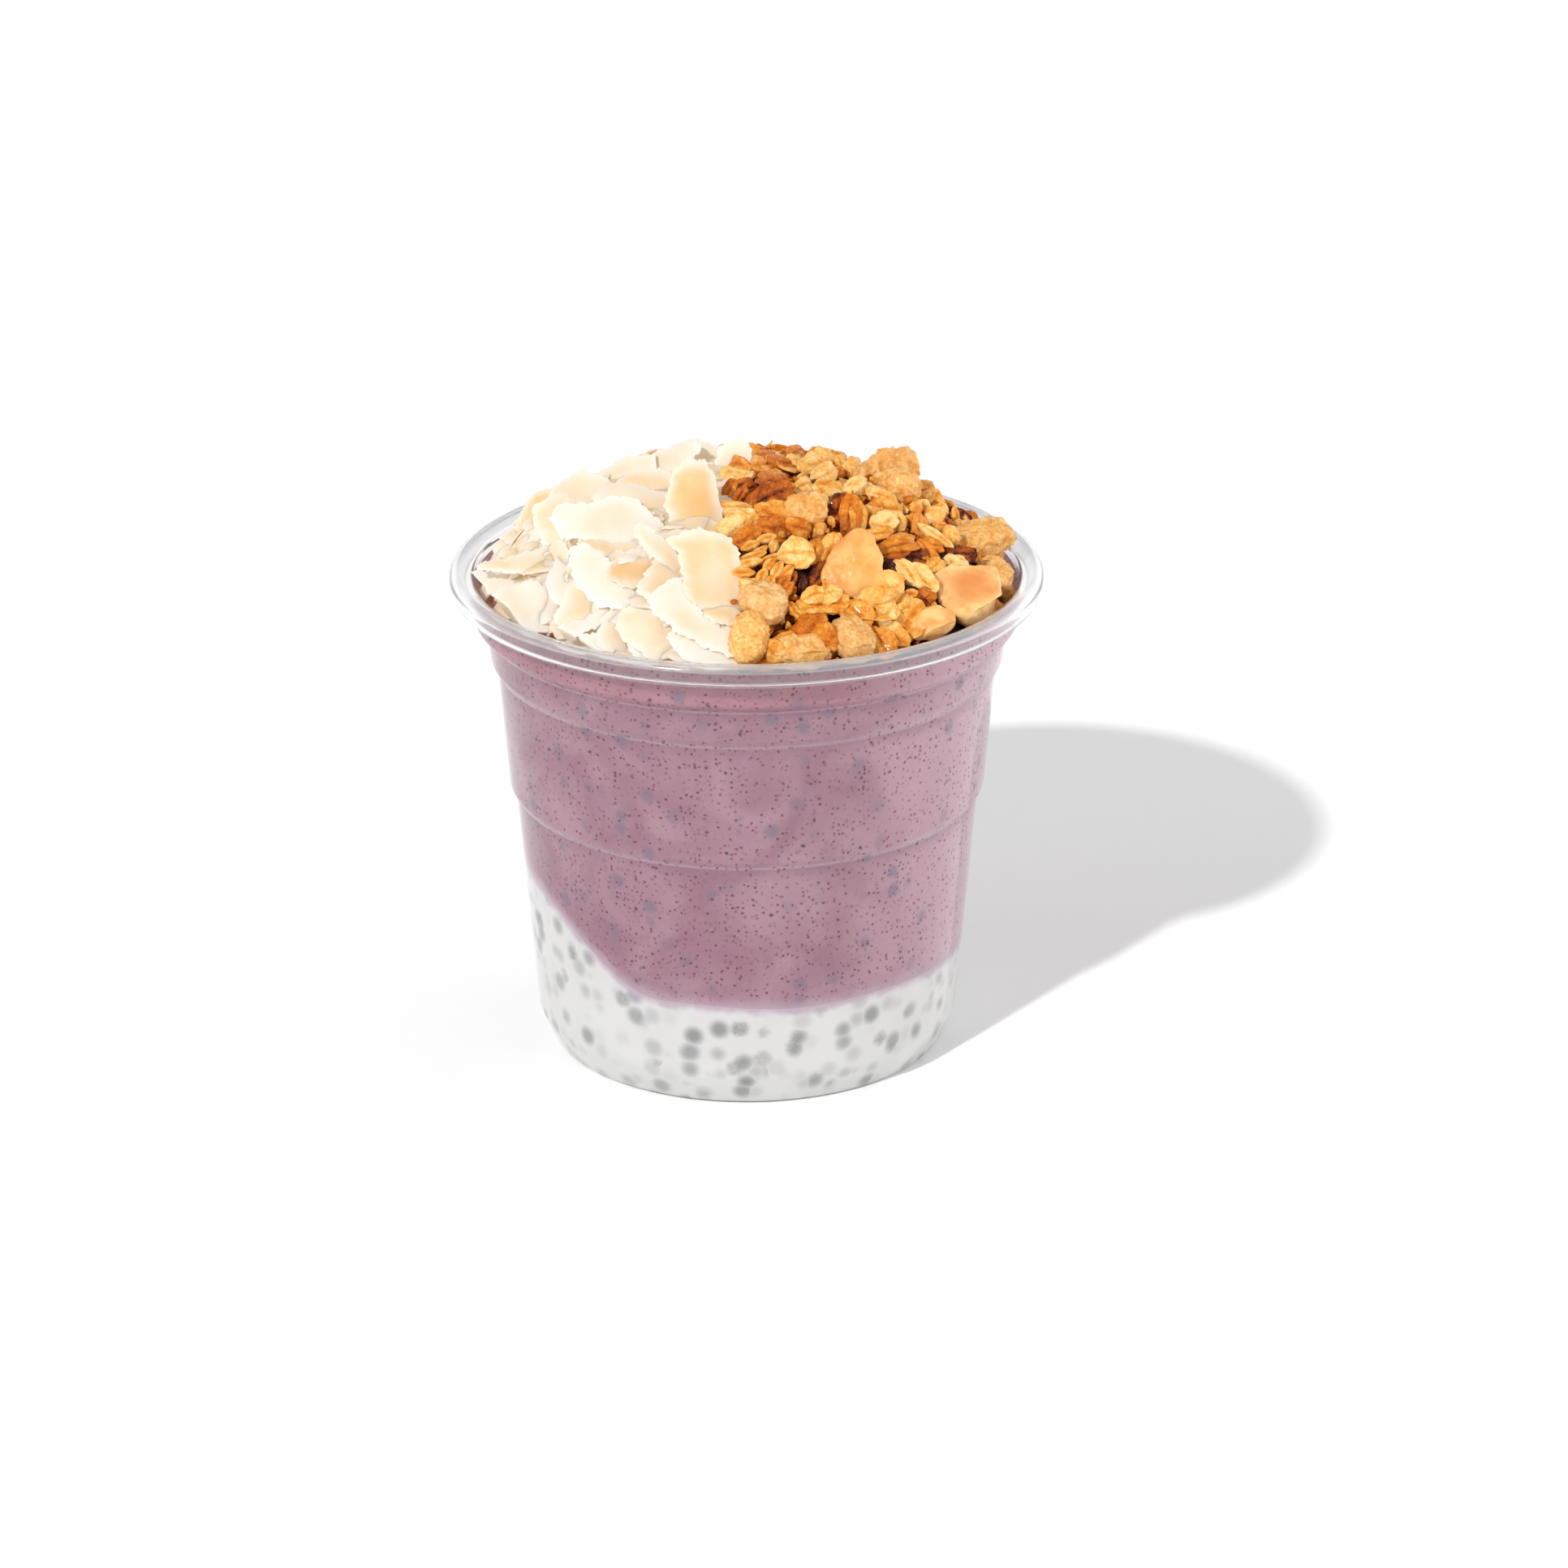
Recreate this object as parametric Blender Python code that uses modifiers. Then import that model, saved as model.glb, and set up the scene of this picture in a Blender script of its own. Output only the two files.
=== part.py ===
"""Acai yogurt oat cup: a clear plastic dessert cup, chia pudding below and acai yogurt above,
topped with a heap of coconut flakes and a heap of granola.

Metres, +Z up. The origin is the middle of the base. The side seen in the picture faces -Y,
with the coconut on the left (-X) and the granola on the right (+X).
"""
import math
import random

import bmesh
import bpy
from mathutils import Matrix, Vector, noise

MM = 0.001
GAP = 0.3 * MM                 # room between pieces that touch
TURN_STEPS = 32                # sides of every turned piece

# Cup, outer sizes
RIM_RADIUS = 49.0 * MM
CUP_HEIGHT = 82.9 * MM
WALL = 0.5 * MM
BASE_RADIUS = 33.2 * MM
BASE_RECESS_RADIUS = 27.5 * MM
BASE_RECESS = 0.8 * MM
CHAMFER_RADIUS = 35.3 * MM
CHAMFER_HEIGHT = 5.5 * MM
# Each step in the wall: lower height and radius, upper height and radius
WALL_STEPS = (
    (43.8 * MM, 38.6 * MM, 45.9 * MM, 39.65 * MM),
    (65.5 * MM, 41.35 * MM, 68.2 * MM, 42.5 * MM),
    (72.5 * MM, 43.1 * MM, 74.8 * MM, 45.2 * MM),
)
NECK_RADIUS = 45.3 * MM        # the wall just under the rim
RIM_TOP_CURL = 1.6 * MM        # outer radius of the rim's upper turn
RIM_LOWER_CURL = 1.5 * MM      # outer radius of the turned-under edge
RIM_INNER_DROP = 1.0 * MM      # how far the rim's inner edge lies below its top

# Contents
ACAI_TOP = 78.3 * MM
PUDDING_LEVEL = 18.6 * MM      # top of the pudding in front
PUDDING_BANK = 13.5 * MM       # how much higher it stands on the left
BANK_START = -14.0 * MM        # where that rise begins, across
BANK_WIDTH = 24.0 * MM
PUDDING_RIPPLE = 0.8 * MM

# Heaps
HEAP_RADIUS = 43.0 * MM
HEAP_EDGE = 81.0 * MM          # height of the heap's surface at that radius
HEAP_RISE = 15.2 * MM
HEAP_POWER = 4.0               # a flat crown with steep sides
SPLIT = -2.4 * MM              # where coconut meets granola, across, on average
SPLIT_SWAY = 2.0 * MM          # how far that line swings to either side
SPLIT_WAVE = 10.0 * MM
FLAKE_THICKNESS = 0.8 * MM

random.seed(11)


def clear_scene():
    for obj in list(bpy.data.objects):
        bpy.data.objects.remove(obj, do_unlink=True)


def new_collection(name):
    made = bpy.data.collections.new(name)
    bpy.context.scene.collection.children.link(made)
    return made


clear_scene()
PARTS = new_collection("acai_yogurt_oat_cup")
CUTTERS = new_collection("cutters")


def material(name, colour, roughness):
    """A Principled material with the piece's plain colour, metallic zero."""
    made = bpy.data.materials.new(name)
    made.use_nodes = True
    shader = made.node_tree.nodes["Principled BSDF"]
    shader.inputs["Base Color"].default_value = (*colour, 1.0)
    shader.inputs["Roughness"].default_value = roughness
    shader.inputs["Metallic"].default_value = 0.0
    made.diffuse_color = (*colour, 1.0)
    return made


def new_object(name, mesh, collection, finish=None):
    obj = bpy.data.objects.new(name, mesh)
    collection.objects.link(obj)
    if finish is not None:
        mesh.materials.append(finish)
    return obj


def mesh_from(bm, name):
    mesh = bpy.data.meshes.new(name)
    bm.to_mesh(mesh)
    bm.free()
    return mesh


def as_cutter(obj):
    obj.hide_render = True
    obj.display_type = "WIRE"
    return obj


def drop(obj):
    mesh = obj.data
    bpy.data.objects.remove(obj, do_unlink=True)
    bpy.data.meshes.remove(mesh)


def apply_modifiers(obj):
    """Swap the object's mesh for its evaluated one and clear its modifiers."""
    graph = bpy.context.evaluated_depsgraph_get()
    shaped = bpy.data.meshes.new_from_object(obj.evaluated_get(graph))
    old = obj.data
    obj.modifiers.clear()
    obj.data = shaped
    bpy.data.meshes.remove(old)


def boolean(obj, operation, other=None, collection=None, solver="EXACT"):
    cut = obj.modifiers.new(operation.lower(), "BOOLEAN")
    cut.operation = operation
    cut.solver = solver
    if collection is None:
        cut.object = other
    else:
        cut.operand_type = "COLLECTION"
        cut.collection = collection


def smooth(obj, angle=40.0):
    obj.data.shade_smooth()
    obj.data.set_sharp_from_angle(angle=math.radians(angle))


# Turned pieces

def arc(centre, radius, start, end, count):
    """Points of an arc in the radius and height plane, angles in degrees."""
    points = []
    for i in range(count + 1):
        a = math.radians(start + (end - start) * i / count)
        points.append((centre[0] + radius * math.cos(a), centre[1] + radius * math.sin(a)))
    return points


def offset(path, distance):
    """The path moved sideways to its left by a distance, with mitred corners."""
    moved = []
    for i, (r, z) in enumerate(path):
        before = path[max(i - 1, 0)]
        after = path[min(i + 1, len(path) - 1)]
        normals = []
        for a, b in ((before, (r, z)), ((r, z), after)):
            run = math.hypot(b[0] - a[0], b[1] - a[1])
            if run > 0:
                normals.append((-(b[1] - a[1]) / run, (b[0] - a[0]) / run))
        nr = sum(n[0] for n in normals)
        nz = sum(n[1] for n in normals)
        scale = distance / max((nr * nr + nz * nz) / len(normals), 1e-9)
        moved.append((max(r + nr * scale, 0.0), z + nz * scale))
    return moved


def wall_path():
    """Middle of the cup's wall, from the axis out along the base, up and round the rim's curl."""
    half = WALL / 2
    path = [
        (0.0, BASE_RECESS + half),
        (BASE_RECESS_RADIUS - 1.0 * MM, BASE_RECESS + half),
        (BASE_RECESS_RADIUS, half),
        (BASE_RADIUS - 0.6 * MM, half),
        (BASE_RADIUS - half, 0.7 * MM),
        (CHAMFER_RADIUS - half, CHAMFER_HEIGHT),
    ]
    for low, low_radius, high, high_radius in WALL_STEPS:
        path.append((low_radius - half, low))
        path.append((high_radius - half, high))
    neck = NECK_RADIUS - half
    top = CUP_HEIGHT - half
    path.append((neck, CUP_HEIGHT - 2 * RIM_INNER_DROP))
    path.append((neck + 0.5 * MM, CUP_HEIGHT - RIM_INNER_DROP))
    upper = RIM_TOP_CURL - half
    path += arc((RIM_RADIUS - RIM_TOP_CURL, top - upper), upper, 90, 0, 3)
    lower = RIM_LOWER_CURL - half
    path += arc((RIM_RADIUS - RIM_LOWER_CURL, top - upper - 0.9 * MM), lower, 0, -105, 3)
    return path


def turned(name, profile, collection, finish=None):
    """A solid of revolution. The profile runs down its outer side and may end on the axis."""
    bm = bmesh.new()
    verts = [bm.verts.new((r, 0.0, z)) for r, z in profile]
    for i, v in enumerate(verts):
        before = verts[i - 1]
        if before.co.x > 0 or v.co.x > 0:
            bm.edges.new((before, v))
    obj = new_object(name, mesh_from(bm, name), collection, finish)
    screw = obj.modifiers.new("turn", "SCREW")
    screw.steps = TURN_STEPS
    screw.render_steps = TURN_STEPS
    screw.use_merge_vertices = True
    screw.merge_threshold = 0.00001
    screw.use_smooth_shade = False
    return obj


def build_cup():
    clear_plastic = material("clear_plastic", (0.92, 0.93, 0.94), 0.05)
    path = wall_path()
    outer = offset(path, -WALL / 2)
    inner = offset(path, WALL / 2)
    cup = turned("cup", outer[::-1] + inner, PARTS, clear_plastic)
    apply_modifiers(cup)
    smooth(cup)
    return cup


# Contents

def smooth_step(t):
    t = min(max(t, 0.0), 1.0)
    return t * t * (3 - 2 * t)


def pudding_top(x, y):
    """Where pudding meets yogurt: nearly level, banked up on the left, gently rippled."""
    bank = PUDDING_BANK * smooth_step((BANK_START - x) / BANK_WIDTH)
    ripple = PUDDING_RIPPLE * math.sin(x / (6.5 * MM)) * math.cos(y / (17 * MM))
    return PUDDING_LEVEL + bank + ripple


def wavy_block(name, far_side, shift):
    """A block with one wavy face, at the meeting of pudding and yogurt moved by the shift."""
    size = RIM_RADIUS
    bm = bmesh.new()
    bmesh.ops.create_grid(bm, x_segments=18, y_segments=7, size=size)
    for v in bm.verts:
        v.co.z = pudding_top(v.co.x, v.co.y) + shift
    grown = bmesh.ops.extrude_face_region(bm, geom=bm.faces[:])
    for v in grown["geom"]:
        if isinstance(v, bmesh.types.BMVert):
            v.co.z = far_side
    bmesh.ops.triangulate(bm, faces=bm.faces[:])
    bmesh.ops.recalc_face_normals(bm, faces=bm.faces[:])
    return as_cutter(new_object(name, mesh_from(bm, name), CUTTERS))


def fill_profile(top):
    """What fills the cup up to a height: the wall's inner side less the gap."""
    inside = offset(wall_path(), WALL / 2 + GAP)
    count = next(i for i, point in enumerate(inside) if point[1] >= top)
    below, above = inside[count - 1], inside[count]
    t = (top - below[1]) / (above[1] - below[1])
    brim = below[0] + t * (above[0] - below[0])
    return [(0.0, top), (brim, top)] + inside[:count][::-1]


def build_contents():
    pudding_white = material("chia_pudding", (0.80, 0.80, 0.80), 0.35)
    acai_purple = material("acai_yogurt", (0.38, 0.21, 0.26), 0.4)
    ceiling = PUDDING_LEVEL + PUDDING_BANK + 6 * MM
    above = wavy_block("yogurt_side", CUP_HEIGHT, -GAP / 2)
    below = wavy_block("pudding_side", -5 * MM, GAP / 2)
    pudding = turned("chia_pudding", fill_profile(ceiling), PARTS, pudding_white)
    boolean(pudding, "DIFFERENCE", above)
    acai = turned("acai_yogurt", fill_profile(ACAI_TOP), PARTS, acai_purple)
    boolean(acai, "DIFFERENCE", below)
    for obj in (pudding, acai):
        apply_modifiers(obj)
        smooth(obj)


# Shapes of the toppings

def heap_top(x, y):
    """Height of the finished heap's surface."""
    rho = math.hypot(x, y) / HEAP_RADIUS
    return HEAP_EDGE + HEAP_RISE * (1 - rho ** HEAP_POWER)


def flake(length, width, thickness=FLAKE_THICKNESS, curl=0.12, seed=0):
    """A shaving: a thin plate with a torn outline, curled along its length and a little twisted."""
    bm = bmesh.new()
    strips = 2 if width > 7 * MM else 1
    bmesh.ops.create_grid(bm, x_segments=3, y_segments=strips, size=1.0)
    for v in bm.verts:
        s, t = v.co.x, v.co.y
        ragged = 0.16 * noise.noise(Vector((s * 1.3, t * 1.3, seed * 7.1)))
        narrow = 1 - 0.28 * s * s
        x = s * (1 - 0.14 * t * t + ragged) * length / 2
        y = t * (narrow + ragged) * width / 2
        z = -curl * length * s * s + 0.10 * width * s * t
        v.co = (x, y, z + 0.1 * curl * length)
    bmesh.ops.triangulate(bm, faces=bm.faces[:], quad_method="FIXED")
    bmesh.ops.solidify(bm, geom=bm.faces[:], thickness=thickness)
    bmesh.ops.recalc_face_normals(bm, faces=bm.faces[:])
    return bm


def pebble(size, segments=8, rings=5, square=1.0, lumps=0.1, taper=0.0, seed=0):
    """A rounded lump: a sphere drawn out to a size, squared, tapered and made uneven."""
    bm = bmesh.new()
    bmesh.ops.create_uvsphere(bm, u_segments=segments, v_segments=rings, radius=1.0)
    for v in bm.verts:
        d = Vector([math.copysign(abs(c) ** square, c) for c in v.co])
        d *= 1 + lumps * noise.noise(v.co * 1.4 + Vector((seed * 3.7, 0.0, seed * 1.9)))
        d.y *= 1 - taper * d.x
        v.co = (d.x * size[0] / 2, d.y * size[1] / 2, d.z * size[2] / 2)
    return bm


def pose(at, spin=0.0, lean=0.0, facing=0.0):
    """Turned in its own plane, leant towards -Y, then turned to face another way, in degrees."""
    turn = Matrix.Rotation(math.radians(facing), 4, "Z")
    tip = Matrix.Rotation(math.radians(lean), 4, "X")
    own = Matrix.Rotation(math.radians(spin), 4, "Z")
    return Matrix.Translation(at) @ turn @ tip @ own


def outward(x, y):
    """Facing angle of a piece at this place that leans away from the heap's middle."""
    return math.degrees(math.atan2(x, -y))


def split_line(y):
    """Where the two heaps meet, across, at a depth: the granola bulges left near the front."""
    return SPLIT - SPLIT_SWAY * math.cos((y + 14 * MM) / SPLIT_WAVE)


def slope(x, y):
    rho = math.hypot(x, y) / HEAP_RADIUS
    fall = HEAP_POWER * HEAP_RISE * rho ** (HEAP_POWER - 1) / HEAP_RADIUS
    return math.degrees(math.atan(fall))


# Larger single pieces that lie on the heaps: each is a solid of its own in a fitting hollow.
# size, place across and deep, lift over the heap's surface, spin, lean, facing, then the shape.

SINGLES = {
    "nut_chunk": dict(size=(11.8, 9.6, 7.0), at=(35.2, -19.3), lift=0.7, spin=-8, lean=44,
                      facing=22, square=0.72, lumps=0.34, rings=7, segments=10, seed=3),
    "nut_petal": dict(size=(12.0, 9.2, 2.0), at=(17.5, -27.4), lift=1.2, spin=72, lean=52,
                      facing=6, square=0.85, lumps=0.16, taper=0.22, rings=5, segments=10, seed=5),
    "nut_wedge": dict(size=(9.0, 5.8, 4.0), at=(29.3, -30.0), lift=0.7, spin=16, lean=38,
                      facing=12, square=0.78, lumps=0.18, taper=0.25, rings=5, segments=10, seed=8),
    "nut_half": dict(size=(8.2, 6.8, 4.6), at=(17.0, -37.8), lift=0.6, spin=62, lean=48,
                     facing=0, square=0.9, lumps=0.14, rings=6, segments=9, seed=12),
    "puff_front": dict(size=(9.0, 6.2, 5.6), at=(0.6, -40.6), lift=0.5, spin=78, lean=52,
                       facing=0, square=0.88, lumps=0.16, rings=7, segments=10, seed=14),
    "puff_behind": dict(size=(7.6, 6.4, 5.0), at=(3.6, -35.2), lift=0.3, spin=-40, lean=30,
                        facing=0, square=0.92, lumps=0.2, rings=6, segments=9, seed=17),
    "puff_low": dict(size=(9.0, 5.6, 5.0), at=(8.9, -41.0), lift=0.2, spin=-12, lean=30,
                     facing=6, square=0.9, lumps=0.2, rings=6, segments=9, seed=21),
    "puff_round": dict(size=(7.0, 6.8, 6.6), at=(25.2, 2.2), lift=0.9, spin=10, lean=20,
                       facing=0, square=0.95, lumps=0.12, rings=7, segments=10, seed=25),
    "puff_disc": dict(size=(6.8, 6.6, 4.4), at=(9.6, -14.6), lift=1.1, spin=0, lean=58,
                      facing=-4, square=0.9, lumps=0.12, rings=6, segments=10, seed=28),
    "cereal_pillow": dict(size=(10.6, 6.2, 4.6), at=(38.3, -1.0), lift=0.8, spin=14, lean=24,
                          facing=14, square=0.66, lumps=0.16, rings=6, segments=10, seed=31),
    "cereal_pillow_low": dict(size=(6.4, 6.0, 4.4), at=(39.6, -7.4), lift=-0.6, spin=64, lean=30,
                              facing=40, square=0.7, lumps=0.18, rings=6, segments=9, seed=34),
    "corn_flake": dict(size=(9.4, 6.8, 1.8), at=(23.2, 10.8), lift=1.8, spin=20, lean=52,
                       facing=0, square=0.85, lumps=0.2, rings=5, segments=10, seed=37),
}


def single_mesh(name, grow, spec):
    size = [side * MM + 2 * grow for side in spec["size"]]
    shape = {key: spec[key] for key in ("square", "lumps", "rings", "segments", "seed")}
    bm = pebble(size, taper=spec.get("taper", 0.0), **shape)
    x, y = spec["at"][0] * MM, spec["at"][1] * MM
    z = heap_top(x, y) + spec["lift"] * MM
    bm.transform(pose((x, y, z), spec["spin"], spec["lean"], spec["facing"]))
    bmesh.ops.recalc_face_normals(bm, faces=bm.faces[:])
    return mesh_from(bm, name)


def build_singles():
    """The larger pieces, and a slightly larger copy of each that makes its hollow."""
    nut_cream = material("nut", (0.80, 0.60, 0.36), 0.5)
    puff_gold = material("oat_puff", (0.83, 0.55, 0.20), 0.6)
    hollows = new_collection("hollows")
    for name, spec in SINGLES.items():
        finish = nut_cream if name.startswith("nut") else puff_gold
        piece = new_object(name, single_mesh(name, 0.0, spec), PARTS, finish)
        smooth(piece, 60.0)
        hollow_name = name + "_hollow"
        as_cutter(new_object(hollow_name, single_mesh(hollow_name, 1.5 * GAP, spec), hollows))
    return hollows


# Heaps

# Coconut flakes of the front: across, deep, lift, length, width, spin, lean, facing
FLAKES = (
    (-8.2, -16.0, 1.2, 12.8, 8.7, 81, 55, 5),
    (-3.5, -1.5, 0.6, 12.0, 6.4, 90, 60, -5),
    (-12.7, 11.2, 0.8, 10.0, 6.2, 36, 28, -10),
    (-7.0, 9.1, 0.3, 9.0, 5.5, 69, 45, 10),
    (-20.4, 7.6, 0.5, 9.0, 5.6, 30, 30, -20),
    (-15.9, -1.0, 0.7, 10.0, 6.0, 11, 22, 0),
    (-26.7, 3.0, 0.5, 10.5, 7.7, 41, 25, -25),
    (-16.8, -8.3, 0.2, 12.0, 8.5, -8, 28, 0),
    (-30.6, -7.1, 0.4, 11.7, 8.4, -89, 35, -35),
    (-35.4, 6.0, 0.2, 10.0, 7.6, -80, 35, -60),
    (-21.7, -17.4, 1.0, 17.9, 9.0, -10, 32, 0),
    (-34.4, -13.2, 0.5, 15.6, 6.6, 20, 25, -15),
    (-36.6, -14.0, -0.8, 11.8, 4.4, 21, 25, -25),
    (-34.6, -22.4, 0.2, 13.6, 9.3, 33, 30, -20),
    (-26.8, -27.5, -0.2, 9.0, 6.8, 34, 28, -10),
    (-21.2, -28.5, 0.6, 14.8, 8.5, -33, 32, 0),
    (-13.4, -27.6, 1.2, 11.6, 5.0, -61, 38, 10),
    (-7.2, -31.8, 0.8, 11.2, 11.2, -10, 40, 10),
    (-9.4, -37.6, 0.8, 16.0, 6.2, -47, 38, 5),
    (-24.5, -32.9, 0.4, 12.9, 4.5, 37, 35, -10),
    (-20.6, -35.1, 0.0, 7.0, 5.4, 81, 40, 0),
    (-15.4, -37.4, 0.4, 9.6, 7.8, -14, 40, 0),
    (-20.5, -36.7, -0.3, 9.3, 4.2, -26, 35, 0),
    (-7.6, -40.2, 0.3, 9.8, 4.8, -29, 45, 5),
)
BACK_FLAKES = 14

# Granola clusters of the front: across, deep, lift, three sizes, spin
CLUSTERS = (
    (3.0, -28.6, 0.2, 12.0, 9.5, 6.5, 20),
    (11.0, -34.2, 0.4, 8.6, 7.4, 5.6, -30),
    (21.8, -31.4, 0.6, 12.0, 8.0, 6.0, 35),
    (27.8, -21.6, 0.4, 9.0, 6.5, 5.0, -50),
    (30.6, -9.0, 0.6, 11.0, 8.0, 6.0, 10),
    (9.8, -24.0, -0.4, 8.0, 6.0, 5.0, 60),
    (15.9, -15.0, 0.8, 8.5, 6.0, 5.6, 80),
    (22.6, -13.0, 0.4, 8.0, 6.5, 5.5, -15),
    (1.6, -17.0, 0.4, 8.5, 7.0, 5.5, 40),
    (3.4, -4.0, 0.8, 8.0, 7.0, 5.5, -60),
    (12.6, 1.0, 0.6, 9.0, 7.5, 6.0, 25),
    (4.6, 8.0, 0.4, 8.0, 6.5, 5.5, 0),
    (23.6, -37.0, 0.4, 6.5, 5.0, 4.6, 20),
    (35.6, -10.6, 0.2, 6.5, 5.5, 4.6, 70),
)
GRANOLA_SPACING = 7.8 * MM
COCONUT_CORE_DEPTH = 1.2 * MM
GRANOLA_CORE_DEPTH = 2.2 * MM


def heap_core(name, finish, depth, reach, steep, lumps):
    """A plain mound a depth below the heap's surface: half a ball drawn into that shape.

    It reaches a radius, falls off to the yogurt over the last, steep share of it and has
    lumps of a height of its own.
    """
    bm = bmesh.new()
    bmesh.ops.create_icosphere(bm, subdivisions=3, radius=1.0)
    everything = bm.verts[:] + bm.edges[:] + bm.faces[:]
    bmesh.ops.bisect_plane(bm, geom=everything, plane_co=(0, 0, 0), plane_no=(0, 0, 1),
                           clear_inner=True)
    bmesh.ops.contextual_create(bm, geom=[e for e in bm.edges if e.is_boundary])
    floor = ACAI_TOP + GAP
    for v in bm.verts:
        x, y = v.co.x * reach, v.co.y * reach
        surface = heap_top(x, y) - depth + lumps * noise.noise(v.co * 7.0)
        settle = smooth_step((1 - math.hypot(v.co.x, v.co.y)) / steep)
        v.co = (x, y, floor + (surface - floor) * settle)
    bmesh.ops.recalc_face_normals(bm, faces=bm.faces[:])
    return new_object(name, mesh_from(bm, name), PARTS, finish)


def add_piece(collection, bm, where):
    bm.transform(where)
    name = "%s_%03d" % (collection.name, len(collection.objects))
    new_object(name, mesh_from(bm, name), collection)


def coconut_pieces(collection):
    for i, (x, y, lift, length, width, spin, lean, facing) in enumerate(FLAKES):
        z = heap_top(x * MM, y * MM) + lift * MM
        curl = 0.05 + 0.08 * ((i * 7) % 5) / 4
        bm = flake(length * MM, width * MM, curl=curl, seed=i)
        add_piece(collection, bm, pose((x * MM, y * MM, z), spin, lean, facing))
    for i in range(BACK_FLAKES):
        angle = math.radians(100 + 76 * (i * 0.618 % 1))
        reach = HEAP_RADIUS * (0.42 + 0.46 * ((i + 0.5) / BACK_FLAKES))
        x = -reach * math.sin(math.pi - angle)
        y = -reach * math.cos(angle)
        length = random.uniform(9, 15) * MM
        width = random.uniform(6, 9) * MM
        bm = flake(length, width, curl=random.uniform(0.05, 0.12), seed=50 + i)
        lean = slope(x, y) + random.uniform(-6, 16)
        where = pose((x, y, heap_top(x, y)), random.uniform(-90, 90), lean, outward(x, y))
        add_piece(collection, bm, where)


def taken(x, y):
    """Whether a place already has a larger single piece or one of the clusters."""
    places = [(*spec["at"], spec["size"][0]) for spec in SINGLES.values()]
    places += [(row[0], row[1], row[3]) for row in CLUSTERS]
    for across, deep, length in places:
        if math.hypot(x - across * MM, y - deep * MM) < 0.32 * length * MM:
            return True
    return False


def heap_rings(spacing):
    """Radii of rings round the heap, evenly spaced along its surface from crown to edge."""
    radii = []
    run, walked, step = 0.0, 0.0, 0.1 * MM
    while run < HEAP_RADIUS - 2.2 * MM:
        if walked >= spacing * (len(radii) + 0.5):
            radii.append(run)
        walked += step / math.cos(math.radians(slope(run, 0.0)))
        run += step
    return radii


def granola_piece(kind, seed):
    """A rolled oat, a grain or a lump, and how far its middle stands off the core."""
    if kind < 0.45:
        size = (random.uniform(6, 8) * MM, random.uniform(4.8, 6) * MM, 2.0 * MM)
        return pebble(size, 5, 4, square=0.9, lumps=0.2, seed=seed), 1.0 * MM
    if kind < 0.6:
        size = (random.uniform(5.5, 7) * MM, 2.6 * MM, 2.4 * MM)
        return pebble(size, 5, 4, lumps=0.1, seed=seed), 0.4 * MM
    size = [random.uniform(4.6, 7.0) * MM for _ in range(3)]
    return pebble(size, 6, 4, square=0.85, lumps=0.4, seed=seed), 1.4 * MM


def granola_pieces(collection):
    """Clusters in front, then oats, grains and lumps in rings that follow the surface."""
    for i, (across, deep, lift, *size, spin) in enumerate(CLUSTERS):
        x, y = across * MM, deep * MM
        bm = pebble([side * MM for side in size], 6, 5, square=0.8, lumps=0.5, seed=60 + i)
        at = (x, y, heap_top(x, y) + (lift - 1.5) * MM)
        add_piece(collection, bm, pose(at, spin, slope(x, y), outward(x, y)))
    for radius in heap_rings(GRANOLA_SPACING):
        count = max(round(2 * math.pi * radius / GRANOLA_SPACING), 1)
        start = random.uniform(0, 1)
        for i in range(count):
            angle = 2 * math.pi * (i + start + random.uniform(-0.25, 0.25)) / count
            reach = radius + random.uniform(-1, 1) * MM
            x, y = reach * math.sin(angle), reach * math.cos(angle)
            bm, stand = granola_piece(random.random(), len(collection.objects))
            spin = random.uniform(-90, 90)
            lean = slope(x, y) + random.choice((-1, 1)) * random.uniform(20, 60)
            if x < split_line(y) + 1 * MM or taken(x, y):
                bm.free()
                continue
            at = (x, y, heap_top(x, y) - GRANOLA_CORE_DEPTH + stand)
            add_piece(collection, bm, pose(at, spin, lean, outward(x, y)))


def inside_rim():
    """The room above the yogurt and inside the rim, a gap clear of both, and open above."""
    inner = offset(wall_path(), WALL / 2 + GAP)
    floor = ACAI_TOP + GAP
    crest = max(inner, key=lambda p: p[1])
    wall = [p for p in inner if p[1] > floor and p[0] <= crest[0]]
    sky = HEAP_EDGE + 2 * HEAP_RISE
    profile = [(0.0, sky), (crest[0], sky)] + wall[::-1] + [(wall[0][0], floor), (0.0, floor)]
    room = turned("room_inside_rim", profile, CUTTERS)
    apply_modifiers(room)
    return as_cutter(room)


def side_block(name, sign):
    """A block with one wavy side that holds one heap, half a gap clear of the split line."""
    reach = 1.2 * RIM_RADIUS
    count = 24
    bm = bmesh.new()
    outline = [(sign * reach, reach), (sign * reach, -reach)]
    for i in range(count + 1):
        y = -reach + 2 * reach * i / count
        outline.append((split_line(y) + sign * GAP / 2, y))
    face = bm.faces.new([bm.verts.new((x, y, 0.5 * CUP_HEIGHT)) for x, y in outline])
    grown = bmesh.ops.extrude_face_region(bm, geom=[face])
    for v in grown["geom"]:
        if isinstance(v, bmesh.types.BMVert):
            v.co.z = 2 * CUP_HEIGHT
    bmesh.ops.triangulate(bm, faces=bm.faces[:])
    bmesh.ops.recalc_face_normals(bm, faces=bm.faces[:])
    return as_cutter(new_object(name, mesh_from(bm, name), CUTTERS))


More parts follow.
